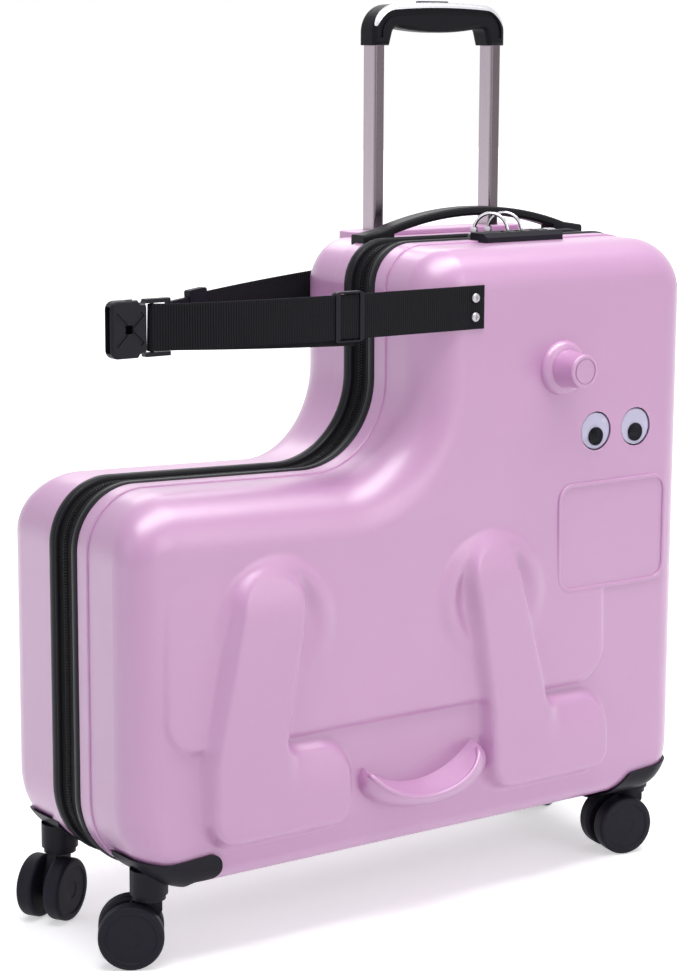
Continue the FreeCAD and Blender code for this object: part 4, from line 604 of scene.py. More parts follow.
def inside_rectangle(x, z, low, high, corner):
    """How far each place lies inside a rectangle with round corners; negative outside it."""
    past_x = np.abs(x - (low[0] + high[0]) / 2) - (high[0] - low[0]) / 2 + corner
    past_z = np.abs(z - (low[1] + high[1]) / 2) - (high[1] - low[1]) / 2 + corner
    outside = np.hypot(np.maximum(past_x, 0), np.maximum(past_z, 0))
    return corner - outside - np.minimum(np.maximum(past_x, past_z), 0)


def belly_height(x, z):
    """A rounded plate that leans, so that its edge fades out towards the top, and stops at the panel."""
    inside = inside_rectangle(
        x, z, (BELLY_REAR, BELLY_LOW), (BELLY_FRONT, BELLY_LOW + BELLY_RISE), BELLY_CORNER
    )
    short = np.clip(BELLY_ROUND - inside, 0, BELLY_ROUND)
    dip = BELLY_ROUND - np.sqrt(BELLY_ROUND**2 - short**2)
    lean = BELLY_RAISE * (1 - (z - BELLY_LOW) / BELLY_RISE)
    panel = inside_rectangle(x, z, PANEL_LOW, PANEL_HIGH, PANEL_CORNER)
    plate = np.where(inside > 0, np.maximum(lean - dip, 0), 0)
    return plate * (1 - ease(panel / (2 * BEAD_HALF)))


def leg_height(x, z, points):
    """The leg's crown, which slopes back to the wall at the knee and on the foot."""
    knee_z, ankle, toe = points[0].y, points[2], points[3]
    knee = LEG_RAISE - SLOPE_EASE * (z - knee_z + SLOPE_FALL) / SLOPE_FALL
    crown = lower_of(LEG_RAISE, knee, LEG_BLEND)
    foot_z = ankle.y + (toe.y - ankle.y) * (x - ankle.x) / (toe.x - ankle.x)
    foot = LEG_RAISE - SLOPE_EASE * (z - foot_z + SLOPE_FALL) / SLOPE_FALL
    foot_share = ease((x - ankle.x + FOOT_BLEND / 4) / FOOT_BLEND)
    foot_share = foot_share * (1 - ease((z - foot_z - FOOT_OVER) / FOOT_FADE))
    return crown * (1 - foot_share) + lower_of(LEG_RAISE, foot, LEG_BLEND) * foot_share


def relief_height(x, z):
    """How far the moulding stands out of the flat side."""
    height = belly_height(x, z)
    for centre_x, centre_z in ARCHES:
        across = np.clip((np.hypot(x - centre_x, z - centre_z) - ARCH_RING) / ARCH_WIDE, -1, 1)
        crest = np.maximum(ARCH_RAISE + (z - centre_z) * ARCH_LEAN, 0)
        height = height + crest * (0.5 + 0.5 * np.cos(np.pi * across))
    for heel, shares in LEGS:
        points = [Vector((heel + x_share * LEG_FOOT, LEG_SOLE + z_share * LEG_RISE))
                  for x_share, z_share, corner_share in shares]
        outline = rounded(points, [corner_share * LEG_FOOT for x_share, z_share, corner_share in shares])
        inside = depth_inside(outline, x, z)
        share = ease((inside + LEG_EDGE_OUT) / (LEG_EDGE_OUT + LEG_EDGE_IN))
        height = height * (1 - share) + leg_height(x, z, points) * share
    return height


def in_patch(x, z):
    inside = PATCH_REAR < x < PATCH_FRONT and PATCH_LOW < z < PATCH_HIGH
    at_heel = x < HEEL_NOTCH_X and z < HEEL_NOTCH_Z
    at_seat = x > SEAT_NOTCH_X and z > SEAT_NOTCH_Z
    return inside and not at_heel and not at_seat


def grid_lines(*stops):
    """Even steps from stop to stop."""
    lines = [stops[0]]
    for first, last in zip(stops, stops[1:]):
        count = math.ceil((last - first) / SKIN_STEP)
        lines.extend(first + (last - first) * (step + 1) / count for step in range(count))
    return np.array(lines)


def add_moulding(form, keep, side):
    """The moulding's patch as a fine grid, with its normals from the slope of its height."""
    x_lines = grid_lines(PATCH_REAR, HEEL_NOTCH_X, SEAT_NOTCH_X, PATCH_FRONT)
    z_lines = grid_lines(PATCH_LOW, HEEL_NOTCH_Z, SEAT_NOTCH_Z, PATCH_HIGH)
    x, z = np.meshgrid(x_lines, z_lines, indexing="ij")
    height = relief_height(x, z)
    slope_x, slope_z = np.gradient(height, x_lines, z_lines)
    made = {}

    def vertex(column, row):
        if (column, row) not in made:
            place = (x_lines[column], side * (HALF_DEPTH + height[column, row]), z_lines[row])
            made[column, row] = form.verts.new(place)
        return made[column, row]

    for column in range(len(x_lines) - 1):
        for row in range(len(z_lines) - 1):
            middle = (x_lines[column] + x_lines[column + 1]) / 2, (z_lines[row] + z_lines[row + 1]) / 2
            if not in_patch(*middle):
                continue
            corners = [(column, row), (column + 1, row), (column + 1, row + 1), (column, row + 1)]
            if side > 0:
                corners.reverse()
            face = form.faces.new([vertex(*corner) for corner in corners])
            for loop, corner in zip(face.loops, corners):
                loop[keep] = Vector((-slope_x[corner], side, -slope_z[corner])).normalized()


def add_panel_bead(form, side):
    """The raised bead that frames the panel."""
    left, low = (edge + BEAD_HALF for edge in PANEL_LOW)
    right, high = (edge - BEAD_HALF for edge in PANEL_HIGH)
    turns = [Vector(place) for place in ((left, low), (right, low), (right, high), (left, high))]
    path = rounded(turns, [PANEL_CORNER - BEAD_HALF] * len(turns))
    rings = []
    for index, place in enumerate(path):
        way = (path[(index + 1) % len(path)] - path[index - 1]).normalized()
        out = Vector((way.y, -way.x))
        ring = []
        for count in range(BEAD_STEPS + 1):
            angle = math.pi * count / BEAD_STEPS
            reach = math.copysign(abs(math.cos(angle)) ** BEAD_SQUARE_SHARE, math.cos(angle))
            rise = math.sin(angle) ** BEAD_SQUARE_SHARE if 0 < count < BEAD_STEPS else 0.0
            spot = place + out * reach * BEAD_HALF
            lift = rise * (BEAD_RAISE + BEAD_ROOT) - BEAD_ROOT
            ring.append(form.verts.new((spot.x, side * (HALF_DEPTH + lift), spot.y)))
        rings.append(ring)
    for here, there in zip(rings, rings[1:] + rings[:1]):
        for count in range(BEAD_STEPS):
            corners = [here[count], there[count], there[count + 1], here[count + 1]]
            form.faces.new(corners if side > 0 else corners[::-1])


def footrest_share(x, height, z):
    """One on the footrest's bulge, and less inside it."""
    return ((x - REST_X) / REST_HALF) ** 2 + ((z - REST_Z) / REST_DROP) ** 2 + (height / REST_OUT) ** 2


def footrest_edge():
    """Places (x, height, z) along the edge between the footrest's bulge and its scoop."""
    places = []
    for step in range(1, LIP_STEPS):
        x = REST_X + REST_HALF * math.cos(math.pi * (1 - step / LIP_STEPS))
        drop = math.sqrt(SCOOP_RADIUS**2 - (x - SCOOP_X) ** 2) / math.cos(SCOOP_LEAN)
        low, high = 0.0, REST_OUT
        for _ in range(LIP_HALVINGS):
            height = (low + high) / 2
            z = SCOOP_Z - drop - height * math.tan(SCOOP_LEAN)
            low, high = (height, high) if footrest_share(x, height, z) < 1 else (low, height)
        if height > SKIN_SLACK:
            places.append(Vector((x, height, z)))
    return places


def add_footrest_lip(form, side):
    """A rolled lip along the footrest's edge."""
    edge = footrest_edge()
    rings = []
    for index, place in enumerate(edge):
        way = (edge[min(index + 1, len(edge) - 1)] - edge[max(index - 1, 0)]).normalized()
        outward = (ACROSS - way * way.dot(ACROSS)).normalized()
        across = way.cross(outward)
        centre = place - outward * LIP_INSET
        ring = []
        for count in range(LIP_SIDES):
            angle = 2 * math.pi * count / LIP_SIDES
            spot = centre + (outward * math.sin(angle) + across * math.cos(angle)) * LIP_RADIUS
            ring.append(form.verts.new((spot.x, side * (HALF_DEPTH + spot.y), spot.z)))
        rings.append(ring)
    for here, there in zip(rings, rings[1:]):
        for count in range(LIP_SIDES):
            after = (count + 1) % LIP_SIDES
            corners = [here[count], here[after], there[after], there[count]]
            form.faces.new(corners if side > 0 else corners[::-1])
    for ring, turned in ((rings[0], side > 0), (rings[-1], side < 0)):
        form.faces.new(ring[::-1] if turned else ring)


def shell_skin(half, side):
    """The shell's own skin, cut away under the moulding's patch, with the patch set in."""
    source = NODES[half + "_shell"].data
    form = bmesh.new()
    form.from_mesh(source)
    keep = form.loops.layers.float_vector.new("keep_normal")
    normals = [corner.vector.copy() for corner in source.corner_normals]
    for face in form.faces:
        start = source.polygons[face.index].loop_start
        for count, loop in enumerate(face.loops):
            loop[keep] = normals[start + count]

    def lift(vertex):
        return vertex.co.y * side - HALF_DEPTH

    def on_skin(face):
        return all(lift(vertex) > -SKIN_SLACK for vertex in face.verts)

    def on_footrest(face):
        farthest = max(footrest_share(v.co.x, lift(v), v.co.z) for v in face.verts)
        return farthest < REST_SLACK_SHARE and max(lift(v) for v in face.verts) > SKIN_SLACK

    cuts = [(Vector((x, 0, 0)), Vector((1, 0, 0)))
            for x in (PATCH_REAR, HEEL_NOTCH_X, SEAT_NOTCH_X, PATCH_FRONT)]
    cuts += [(Vector((0, 0, z)), UP) for z in (PATCH_LOW, HEEL_NOTCH_Z, SEAT_NOTCH_Z, PATCH_HIGH)]
    for place, normal in cuts:
        skin = [face for face in form.faces if on_skin(face)]
        edges = list(dict.fromkeys(edge for face in skin for edge in face.edges))
        corners = list(dict.fromkeys(vertex for face in skin for vertex in face.verts))
        bmesh.ops.bisect_plane(form, geom=corners + edges + skin, plane_co=place, plane_no=normal)
    under = []
    for face in form.faces:
        centre = face.calc_center_median()
        if on_skin(face) and in_patch(centre.x, centre.z) and not on_footrest(face):
            under.append(face)
    bmesh.ops.delete(form, geom=under, context="FACES")
    add_moulding(form, keep, side)
    add_panel_bead(form, side)
    add_footrest_lip(form, side)
    mesh = bpy.data.meshes.new(half + "_shell_skin")
    form.to_mesh(mesh)
    form.free()
    mesh.shade_smooth()
    kept = mesh.attributes["keep_normal"].data
    mesh.normals_split_custom_set([tuple(corner.vector) for corner in kept])
    mesh.attributes.remove(mesh.attributes["keep_normal"])
    piece = place_in_scene(half + "_shell_skin", mesh)
    dress(piece, half + "_half", "shell", shell_paint, half + "_shell")


shell_skin("near", -1)
shell_skin("far", 1)


# Piping, zip tapes and zip teeth, swept round the case

# Piping section: distance from the zip plane and outset from the case's outline.
PIPING_SECTION = [
    (0.0112, -0.0032),
    (0.0112, -0.0006),
    (0.0116, 0.0005),
    (0.0125, 0.0010),
    (0.0134, 0.0006),
    (0.0140, 0.0000),
    (0.0148, 0.0008),
    (0.0165, 0.0014),
    (0.0190, 0.0016),
    (0.0212, 0.0013),
    (0.0225, 0.0004),
    (0.0229, -0.0012),
    (0.0229, -0.0032),
]
TAPE_SECTION = [
    (0.0004, -0.0024),
    (0.0030, -0.0024),
    (0.0060, -0.0026),
    (0.0108, -0.0024),
    (0.0108, -0.0034),
    (0.0004, -0.0034),
]
TOOTH_PITCH = 0.0024
TOOTH_LENGTH = 0.0011
TOOTH_INNER = 0.0004
TOOTH_OUTER = 0.0029
TOOTH_TOP = -0.0011
TOOTH_LOW = -0.0025
TOOTH_TIP = 0.0005
TOOTH_HEEL = 0.0006
# Places along a tooth, out from the zip plane, each with its share of the tooth's full size.
TOOTH_SWELLS = [
    (TOOTH_INNER, 0.55),
    (TOOTH_INNER + TOOTH_TIP, 1.0),
    (TOOTH_OUTER - TOOTH_HEEL, 1.0),
    (TOOTH_OUTER, 0.6),
]
# The height of a tooth's shoulder, in shares of its top and of its foot.
SHOULDER_TOP, SHOULDER_LOW = 0.7, 0.3
STITCH_PITCH = 0.0042
STITCH_LENGTH = 0.0030
STITCH_RADIUS = 0.00028
STITCH_OFFSET = 0.0088
STITCH_HEIGHT = -0.0024
STITCH_CORNERS = [math.pi / 4 + corner * math.pi / 2 for corner in range(4)]
# Places along a stitch in shares of its length, each with its lift in radii.
STITCH_LIFTS = [(-0.5, -1.0), (-0.35, 0.6), (0.35, 0.6), (0.5, -1.0)]
HINGE_LOW, HINGE_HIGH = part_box("hinge_cord")[0].z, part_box("hinge_cord")[1].z
# There are no teeth where the hinge is: in front of this place, and this far past its ends.
HEAD_END_X = 0.29
HINGE_CLEAR = 0.01


def round_the_case(section, side):
    rings = []
    for place, out in zip(CASE.points, CASE.outs):
        rings.append([place + out * outset + ACROSS * depth * side for depth, outset in section])
    if side > 0:
        rings = [ring[::-1] for ring in rings]
    return sweep(rings, True, True)


def at_hinge(place):
    return place.x > HEAD_END_X and HINGE_LOW - HINGE_CLEAR < place.z < HINGE_HIGH + HINGE_CLEAR


def tooth(place, out, way, side):
    """One turn of the zip's coil, a short bar across the tape with bevelled ends."""
    rings = []
    for depth, swell in TOOTH_SWELLS:
        half = TOOTH_LENGTH / 2 * swell
        top = TOOTH_LOW + (TOOTH_TOP - TOOTH_LOW) * swell
        shoulder = top * SHOULDER_TOP + TOOTH_LOW * SHOULDER_LOW
        section = [
            (-half, TOOTH_LOW),
            (-half, shoulder),
            (-half / 2, top),
            (half / 2, top),
            (half, shoulder),
            (half, TOOTH_LOW),
        ]
        rings.append([place + ACROSS * depth * side + way * along + out * up for along, up in section])
    if side < 0:
        rings = [ring[::-1] for ring in rings]
    return sweep(rings, False, True, capped=True)


def stitch(place, out, way, side):
    """A sewn stitch that dips into the cloth at both ends."""
    rings = []
    for along, lift in STITCH_LIFTS:
        centre = place + ACROSS * STITCH_OFFSET * side + way * along * STITCH_LENGTH
        centre = centre + out * (STITCH_HEIGHT + lift * STITCH_RADIUS)
        ring = []
        for angle in STITCH_CORNERS:
            up = out * math.sin(angle) * STITCH_RADIUS
            ring.append(centre + up + ACROSS * math.cos(angle) * STITCH_RADIUS)
        rings.append(ring)
    return sweep(rings, False, True, capped=True)


def spaced(pitch, start=0.0):
    """Places at an even pitch round the whole case."""
    count = int(CASE.length / pitch)
    return [CASE.at(start + CASE.length * step / count) for step in range(count)]


for half, side in (("near", -1), ("far", 1)):
    body = half + "_half"
    piping = mesh_piece(half + "_piping_strip", *round_the_case(PIPING_SECTION, side))
    dress(piping, body, "piping", plastic["piping_vinyl"], half + "_piping")
    tape = mesh_piece(half + "_zip_cloth", *round_the_case(TAPE_SECTION, side))
    dress(tape, body, "zip_tape", zip_cloth, half + "_zip_tape")
    shift = TOOTH_PITCH / 2 if side > 0 else 0.0
    coil = [
        tooth(place, out, way, side)
        for place, out, way in spaced(TOOTH_PITCH, shift)
        if not at_hinge(place)
    ]
    dress(mesh_piece(half + "_zip_coil", *join(coil)), body, "zip_tape", plastic["coil_nylon"])
    seam = [stitch(place, out, way, side) for place, out, way in spaced(STITCH_PITCH)]
    dress(mesh_piece(half + "_zip_stitches", *join(seam)), body, "zip_tape", plastic["sewing_thread"])


# Hinge binding: a folded cloth strip along the head end

HINGE_X = 0.3032
HINGE_RADIUS = 0.0025
HINGE_WEB_Y = 0.0006
HINGE_WEB_THICK = 0.0015
HINGE_ROOT_X = 0.2991
HINGE_STEPS = 70
HINGE_SIDES = 16
HINGE_PUCKER = 0.00012


def hinge_binding():
    rings = []
    for step in range(HINGE_STEPS + 1):
        z = HINGE_LOW + (HINGE_HIGH - HINGE_LOW) * step / HINGE_STEPS
        swell = HINGE_RADIUS - HINGE_PUCKER * (step % 2)
        ring = [Vector((HINGE_ROOT_X, HINGE_WEB_Y + HINGE_WEB_THICK, z))]
        first = math.asin((HINGE_WEB_Y + HINGE_WEB_THICK) / swell)
        last = math.asin(HINGE_WEB_Y / swell)
        start = math.pi - first
        stop = -math.pi - last
        for corner in range(HINGE_SIDES + 1):
            angle = start + (stop - start) * corner / HINGE_SIDES
            ring.append(Vector((HINGE_X + math.cos(angle) * swell, math.sin(angle) * swell, z)))
        ring.append(Vector((HINGE_ROOT_X, HINGE_WEB_Y, z)))
        rings.append(ring)
    return mesh_piece("hinge_binding", *sweep(rings, False, True, capped=True))


dress(hinge_binding(), "far_half", "zip_tape", zip_cloth, "hinge_cord")


# Linings: cloth stretched over the inside of each half

LINING_INSET = 0.0056
LINING_START = 0.0245
LINING_DEPTH = 0.1002
LINING_ROUND_LOSS = 0.004
LINING_WALL_STEPS = 4
LINING_BEND_STEPS = 6


def lining(half, side):
    rings = []
    for place, out, rounding in zip(CASE.points, CASE.outs, CASE_SIDES):
        bend = rounding - LINING_ROUND_LOSS
        ring = []
        straight = LINING_DEPTH - bend
        for count in range(LINING_WALL_STEPS + 1):
            depth = LINING_START + (straight - LINING_START) * count / LINING_WALL_STEPS
            ring.append(place - out * LINING_INSET + ACROSS * depth * side)
        for count in range(1, LINING_BEND_STEPS + 1):
            angle = math.pi / 2 * count / LINING_BEND_STEPS
            inset = LINING_INSET + bend * (1 - math.cos(angle))
            depth = straight + bend * math.sin(angle)
            ring.append(place - out * inset + ACROSS * depth * side)
        rings.append(ring[::-1] if side < 0 else ring)
    vertices, faces = sweep(rings, True, False)
    count = len(rings[0])
    edge = 0 if side < 0 else count - 1
    floor = [ring * count + edge for ring in range(len(rings))]
    faces.append(tuple(floor if side > 0 else floor[::-1]))
    piece = mesh_piece(half + "_lining_cloth", vertices, faces)
    dress(piece, half + "_half", "lining", lining_cloth, half + "_lining")


lining("near", -1)
lining("far", 1)


# Belts: ribbed webbing

WEB_WIDTH = 0.0375
WEB_THICK = 0.0017
WEB_RIB_DEPTH = 0.00028
WEB_RIB_REACH = 0.95
WEB_STEPS_PER_RIB = 4
WEB_SMOOTH_ANGLE = 60.0
WEB_GAP = 0.00025
BELT_STEPS = 24
BELT_Z = 0.5305
BELT_END_X = 0.056
BELT_STRAIGHT_X = -0.104
BELT_LEFT_X = -0.262
BELT_IN = 0.021
LOOP_RADIUS = 0.0039
TAIL_END_X = -0.076
TAIL_DROOP = math.radians(2.0)
FAR_LEFT_X = -0.112
FAR_IN = 0.018
FAR_DROOP = math.radians(5.0)
SCREW_X = 0.0455
FAR_STRAIGHT_X = 0.0345

# Section of the webbing: share of half its width and share of half its thickness, on one face.
WEB_EDGE_SHARES = [(-1.0, 0.35), (-0.98, 0.85), (-0.9, 1.0), (-0.45, 1.0), (0.0, 1.0),
                   (0.45, 1.0), (0.9, 1.0), (0.98, 0.85), (1.0, 0.35)]


def webbing(name, track, tilt):
    """A ribbed strip along a track; tilt gives the turn of its width at a distance along it."""
    step = WEB_RIB_PITCH / WEB_STEPS_PER_RIB
    count = int(track.length / step)
    rings = []
    for index in range(count + 1):
        place, out, way = track.at(track.length * index / count)
        wide = Matrix.Rotation(tilt(track.length * index / count), 3, "Y") @ UP
        rib = WEB_RIB_DEPTH * (0.5 + 0.5 * math.cos(2 * math.pi * index / WEB_STEPS_PER_RIB))
        ring = []
        for face in (1, -1):
            shares = WEB_EDGE_SHARES if face > 0 else WEB_EDGE_SHARES[::-1]
            for across, thick in shares:
                lift = face * (thick * WEB_THICK / 2 - (rib if abs(across) < WEB_RIB_REACH else 0.0))
                ring.append(place + out * lift + wide * across * WEB_WIDTH / 2)
        rings.append(ring)
    return mesh_piece(name, *sweep(rings, False, True, capped=True), WEB_SMOOTH_ANGLE)


def belt_out(angle, side):
    """The outward direction of a belt where it has bent in by an angle."""
    return Vector((-math.sin(angle), side * math.cos(angle), 0))


def near_belt_track():
    """The near belt's middle line: along the case, round the buckle's bar and back as the tail."""
    middle = -HALF_DEPTH - WEB_GAP - WEB_THICK / 2
    outer = -HALF_DEPTH - WEB_GAP - WEB_THICK
    run = BELT_STRAIGHT_X - BELT_LEFT_X
    radius = (run**2 + BELT_IN**2) / (2 * BELT_IN)
    bend = math.asin(run / radius)
    centre = Vector((BELT_STRAIGHT_X, outer + radius, BELT_Z))
    inner = radius - WEB_THICK / 2
    points = [Vector((BELT_END_X, middle, BELT_Z)), Vector((BELT_STRAIGHT_X, middle, BELT_Z))]
    outs = [Vector((0, -1, 0)), Vector((0, -1, 0))]
    for count in range(1, BELT_STEPS + 1):
        out = belt_out(bend * count / BELT_STEPS, -1)
        points.append(centre + out * inner)
        outs.append(out)
    bar = Vector((BELT_LEFT_X, outer + BELT_IN + LOOP_RADIUS, BELT_Z))
    turn = LOOP_RADIUS - WEB_THICK / 2
    loop_start = sum((b - a).length for a, b in zip(points, points[1:]))
    for count in range(1, BELT_STEPS + 1):
        out = belt_out(bend + math.pi * count / BELT_STEPS, -1)
        points.append(bar + out * turn)
        outs.append(out)
    loop_end = loop_start + math.pi * turn
    gap = 2 * LOOP_RADIUS - WEB_THICK
    drop = Vector((0, 0, -1))
    for count in range(1, BELT_STEPS):
        out = belt_out(bend * (1 - count / BELT_STEPS), -1)
        place = centre + out * inner + ACROSS * gap
        points.append(place + drop * math.sin(TAIL_DROOP) * (place.x - BELT_LEFT_X))
        outs.append(-out)
    for x in (BELT_STRAIGHT_X, TAIL_END_X):
        place = Vector((x, middle + gap, BELT_Z))
        points.append(place + drop * math.sin(TAIL_DROOP) * (x - BELT_LEFT_X))
        outs.append(Vector((0, 1, 0)))
    return Track(points, outs, False), loop_start, loop_end


def near_webbing():
    track, loop_start, loop_end = near_belt_track()

    def tilt(distance):
        share = (distance - loop_start) / (loop_end - loop_start)
        return TAIL_DROOP * min(max(share, 0.0), 1.0)

    return webbing("near_webbing", track, tilt)


def far_webbing():
    middle = HALF_DEPTH + WEB_GAP + WEB_THICK / 2
    run = FAR_STRAIGHT_X - FAR_LEFT_X
    radius = (run**2 + FAR_IN**2) / (2 * FAR_IN)
    bend = math.asin(run / radius)
    centre = Vector((FAR_STRAIGHT_X, middle + WEB_THICK / 2 - radius, BELT_Z))
    flat = [(Vector((x, middle, BELT_Z)), ACROSS) for x in (BELT_END_X, FAR_STRAIGHT_X)]
    for count in range(1, BELT_STEPS + 1):
        out = belt_out(bend * count / BELT_STEPS, 1)
        flat.append((centre + out * (radius - WEB_THICK / 2), out))
    droop = Matrix.Rotation(-FAR_DROOP, 3, "Y")
    pivot = Vector((SCREW_X, 0, BELT_Z))
    points = [pivot + droop @ (place - pivot) for place, out in flat]
    outs = [droop @ out for place, out in flat]
    return webbing("far_webbing", Track(points, outs, False), lambda distance: -FAR_DROOP)


dress(near_webbing(), "near_half", "webbing", webbing_cloth, "near_belt")
dress(far_webbing(), "far_half", "webbing", webbing_cloth, "far_belt")


# Trim: a bright strip bent over the front edge of the grip's crown

GRIP_SOFT = 0.005
GRIP_CORNER = 0.025
GRIP_CROWN = 0.004
TRIM_OVER = 0.00035
TRIM_UNDER = -0.00015
TRIM_FROM = math.radians(12.0)
TRIM_TO = math.radians(84.0)
TRIM_START = math.radians(166.0)
TRIM_TAPER = 0.014
TRIM_TIP = 0.3
TRIM_CORNER_STEPS = 20
TRIM_CROWN_STEPS = 30
TRIM_WIDE_STEPS = 8


def trim_strip():
    low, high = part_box("trolley_grip")
    half = (high.x - low.x) / 2
    middle = (high.x + low.x) / 2
    crown = (half**2 + GRIP_CROWN**2) / (2 * GRIP_CROWN)
    side = half - GRIP_CORNER
    rise = math.sqrt((crown - GRIP_CORNER) ** 2 - side**2)
    turn = math.atan2(rise, -side)
    track = []
    for count in range(TRIM_CORNER_STEPS + 1):
        angle = TRIM_START + (turn - TRIM_START) * count / TRIM_CORNER_STEPS
        out = Vector((math.cos(angle), 0, math.sin(angle)))
        centre = Vector((middle - side, low.y, high.z - crown + rise))
        track.append((centre + out * GRIP_CORNER, out))
    for count in range(1, TRIM_CROWN_STEPS + 1):
        angle = turn + (math.pi / 2 - turn) * count / TRIM_CROWN_STEPS
        out = Vector((math.cos(angle), 0, math.sin(angle)))
        track.append((Vector((middle, low.y, high.z - crown)) + out * crown, out))
    for place, out in track[-2::-1]:
        track.append((Vector((2 * middle - place.x, place.y, place.z)), Vector((-out.x, 0, out.z))))
    points, outs = zip(*track)
    marks = Track(points, outs, False).marks
    rings = []
    for place, out, mark in zip(points, outs, marks):
        to_end = min(mark, marks[-1] - mark)
        share = TRIM_TIP + (1 - TRIM_TIP) * min(1.0, to_end / TRIM_TAPER) ** 0.5
        centre = place - out * GRIP_SOFT + ACROSS * GRIP_SOFT
        mid = (TRIM_FROM + TRIM_TO) / 2
        reach = (TRIM_TO - TRIM_FROM) / 2 * share
        wide = range(TRIM_WIDE_STEPS + 1)
        ring = []
        for over, steps in ((TRIM_OVER, wide), (TRIM_UNDER, wide[::-1])):
            for count in steps:
                angle = mid + reach * (2 * count / TRIM_WIDE_STEPS - 1)
                way = out * math.cos(angle) - ACROSS * math.sin(angle)
                ring.append(centre + way * (GRIP_SOFT + over))
        rings.append(ring)
    return mesh_piece("trolley_trim_strip", *sweep(rings, False, True, capped=True))


dress(trim_strip(), "trolley", "chrome", metal["trim_chrome"], "trolley_grip_trim")


# Digits on the lock's dials

DIAL_DIGITS = 10
DIGIT_SIZE = 0.0030
DIGIT_LIFT = 0.00004


def dial_digits(dial):
    low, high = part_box(dial)
    centre = (low + high) / 2
    radius = (high.z - low.z) / 2
    parts = []
    for digit in range(DIAL_DIGITS):
        curve = bpy.data.curves.new("digit", "FONT")
        curve.body = str(digit)
        curve.size = DIGIT_SIZE
        curve.align_x = "CENTER"
        curve.align_y = "CENTER"
        curve.extrude = DIGIT_LIFT
        curve.resolution_u = 2
        letter = bpy.data.objects.new("digit", curve)
        mesh = letter.to_mesh()
        turn = Matrix.Rotation(2 * math.pi * digit / DIAL_DIGITS, 3, "X")
        vertices = []
        for vertex in mesh.vertices:
            angle = vertex.co.y / radius
            reach = radius + vertex.co.z
            local = Vector((vertex.co.x, math.sin(angle) * reach, math.cos(angle) * reach))
            vertices.append(centre + turn @ local)
        parts.append((vertices, [tuple(face.vertices) for face in mesh.polygons]))
        letter.to_mesh_clear()
        bpy.data.objects.remove(letter)
        bpy.data.curves.remove(curve)
    piece = mesh_piece(dial + "_digits", *join(parts))
    dress(piece, dial, "chrome", plastic["digit_white"])


for count in (1, 2, 3):
    dial_digits(f"lock_dial_{count}")


# Stage: floor, light and camera

# The camera's place, the directions of its picture and its focal length, solved from the photograph.
CAMERA_PLACE = Vector((-1.28574, -1.77059, 0.75787))
CAMERA_RIGHT = Vector((0.81404951, -0.5807796, 0.00429448))
CAMERA_UP = Vector((0.09930852, 0.1464734, 0.98421713))
FOCAL_PIXELS = 2495.44
PHOTO_HEIGHT = 971
SENSOR_MM = 36.0
FLOOR_HALF = 12.0
FLOOR_NEAR = 0.5
FLOOR_FAR = 1.6
FLOOR_GLOW = 0.5
FLOOR_GRAIN = 4.0
FLOOR_TONES = ((0.88, 0.88, 0.89), (0.90, 0.90, 0.91))
FLOOR_ROUGHNESS = 0.9
WORLD_COLOR = (0.93, 0.95, 1.0, 1)
WORLD_STRENGTH = 0.33
WHITE = (1, 1, 1, 1)
WARM = (1.0, 0.975, 0.94)
PLAIN = (1.0, 1.0, 1.0)
COOL = (0.86, 0.92, 1.0)
# Lamps: name, place, target, width and height, power in watts and colour.
LAMPS = [
    ("top_softbox", (0.0, -0.45, 2.3), (0.0, 0, 0.4), (2.4, 0.9), 47.0, PLAIN),
    ("front_softbox", (0.9, -2.6, 1.3), (0.1, 0, 0.35), (1.6, 1.8), 17.0, WARM),
    ("left_softbox", (-2.8, -0.4, 1.3), (0, 0, 0.45), (1.4, 1.8), 5.0, COOL),
    ("back_softbox", (0.9, 2.1, 2.3), (0, 0, 0.4), (1.8, 1.2), 16.0, PLAIN),
]


def camera():
    data = bpy.data.cameras.new("camera")
    data.sensor_width = SENSOR_MM
    data.lens = FOCAL_PIXELS * SENSOR_MM / PHOTO_HEIGHT
    item = place_in_scene("camera", data)
    back = CAMERA_RIGHT.cross(CAMERA_UP)
    turn = Matrix((CAMERA_RIGHT, CAMERA_UP, back)).transposed()
    item.matrix_world = Matrix.Translation(CAMERA_PLACE) @ turn.to_4x4()
    bpy.context.scene.camera = item


def white_to_the_eye(tree):
    """One for rays that the camera, mirrors and glass see, and nought for light that falls on surfaces."""
    rays = add(tree, "ShaderNodeLightPath")
    seen = rays.outputs["Is Camera Ray"]
    for name in ("Is Glossy Ray", "Is Transmission Ray"):
        either = add(tree, "ShaderNodeMath", operation="MAXIMUM")
        tree.links.new(seen, either.inputs[0])
        tree.links.new(rays.outputs[name], either.inputs[1])
        seen = either.outputs["Value"]
    return seen


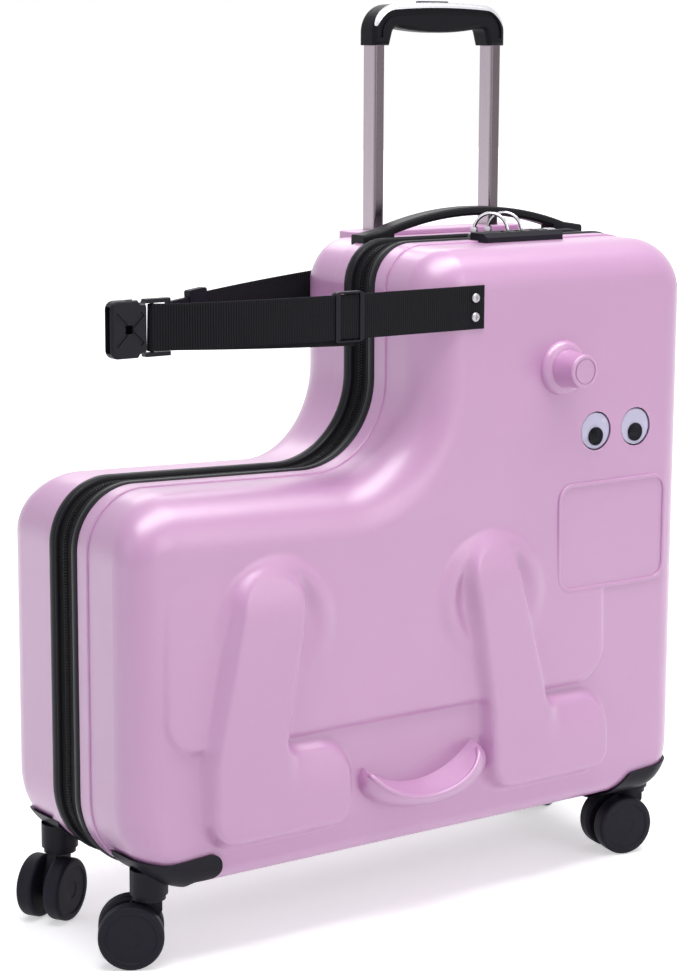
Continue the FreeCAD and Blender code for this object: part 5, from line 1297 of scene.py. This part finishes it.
def floor():
    """White paper that glows a little to the eye near the object, and fully far from it."""
    half = FLOOR_HALF
    item = mesh_piece(
        "floor",
        [(-half, -half, 0), (half, -half, 0), (half, half, 0), (-half, half, 0)],
        [(0, 1, 2, 3)],
    )
    made, tree, shader = start_material("floor_paper", Roughness=FLOOR_ROUGHNESS, Emission_Color=WHITE)
    place = object_place(tree)
    grain = noise(tree, place, FLOOR_GRAIN)
    tint(tree, shader, grain, *FLOOR_TONES)
    away = add(tree, "ShaderNodeVectorMath", operation="LENGTH")
    tree.links.new(place, away.inputs[0])
    glow = add(
        tree,
        "ShaderNodeMapRange",
        {"From Min": FLOOR_NEAR, "From Max": FLOOR_FAR, "To Min": FLOOR_GLOW, "To Max": 1.0},
        interpolation_type="SMOOTHSTEP",
    )
    tree.links.new(away.outputs["Value"], glow.inputs["Value"])
    strength = add(tree, "ShaderNodeMath", operation="MULTIPLY")
    tree.links.new(glow.outputs["Result"], strength.inputs[0])
    tree.links.new(white_to_the_eye(tree), strength.inputs[1])
    tree.links.new(strength.outputs["Value"], shader.inputs["Emission Strength"])
    item.data.materials.append(made)


def soft_light(name, place, target, size, power, color):
    data = bpy.data.lights.new(name, "AREA")
    data.shape = "RECTANGLE"
    data.size, data.size_y = size
    data.energy = power
    data.color = color
    item = place_in_scene(name, data)
    item.location = place
    way = Vector(target) - Vector(place)
    item.rotation_euler = way.to_track_quat("-Z", "Y").to_euler()


def world():
    """Even white surroundings; the camera, mirrors and glass see them at full white."""
    made = bpy.data.worlds.new("studio")
    made.use_nodes = True
    tree = made.node_tree
    ground = tree.nodes["Background"]
    ground.inputs["Color"].default_value = WORLD_COLOR
    ground.inputs["Strength"].default_value = WORLD_STRENGTH
    bright = add(tree, "ShaderNodeBackground", {"Color": WHITE, "Strength": 1.0})
    blend = add(tree, "ShaderNodeMixShader")
    tree.links.new(white_to_the_eye(tree), blend.inputs["Fac"])
    tree.links.new(ground.outputs["Background"], blend.inputs[1])
    tree.links.new(bright.outputs["Background"], blend.inputs[2])
    tree.links.new(blend.outputs["Shader"], tree.nodes["World Output"].inputs["Surface"])
    bpy.context.scene.world = made


camera()
floor()
world()
for lamp in LAMPS:
    soft_light(*lamp)
bpy.context.scene.view_settings.view_transform = "Standard"
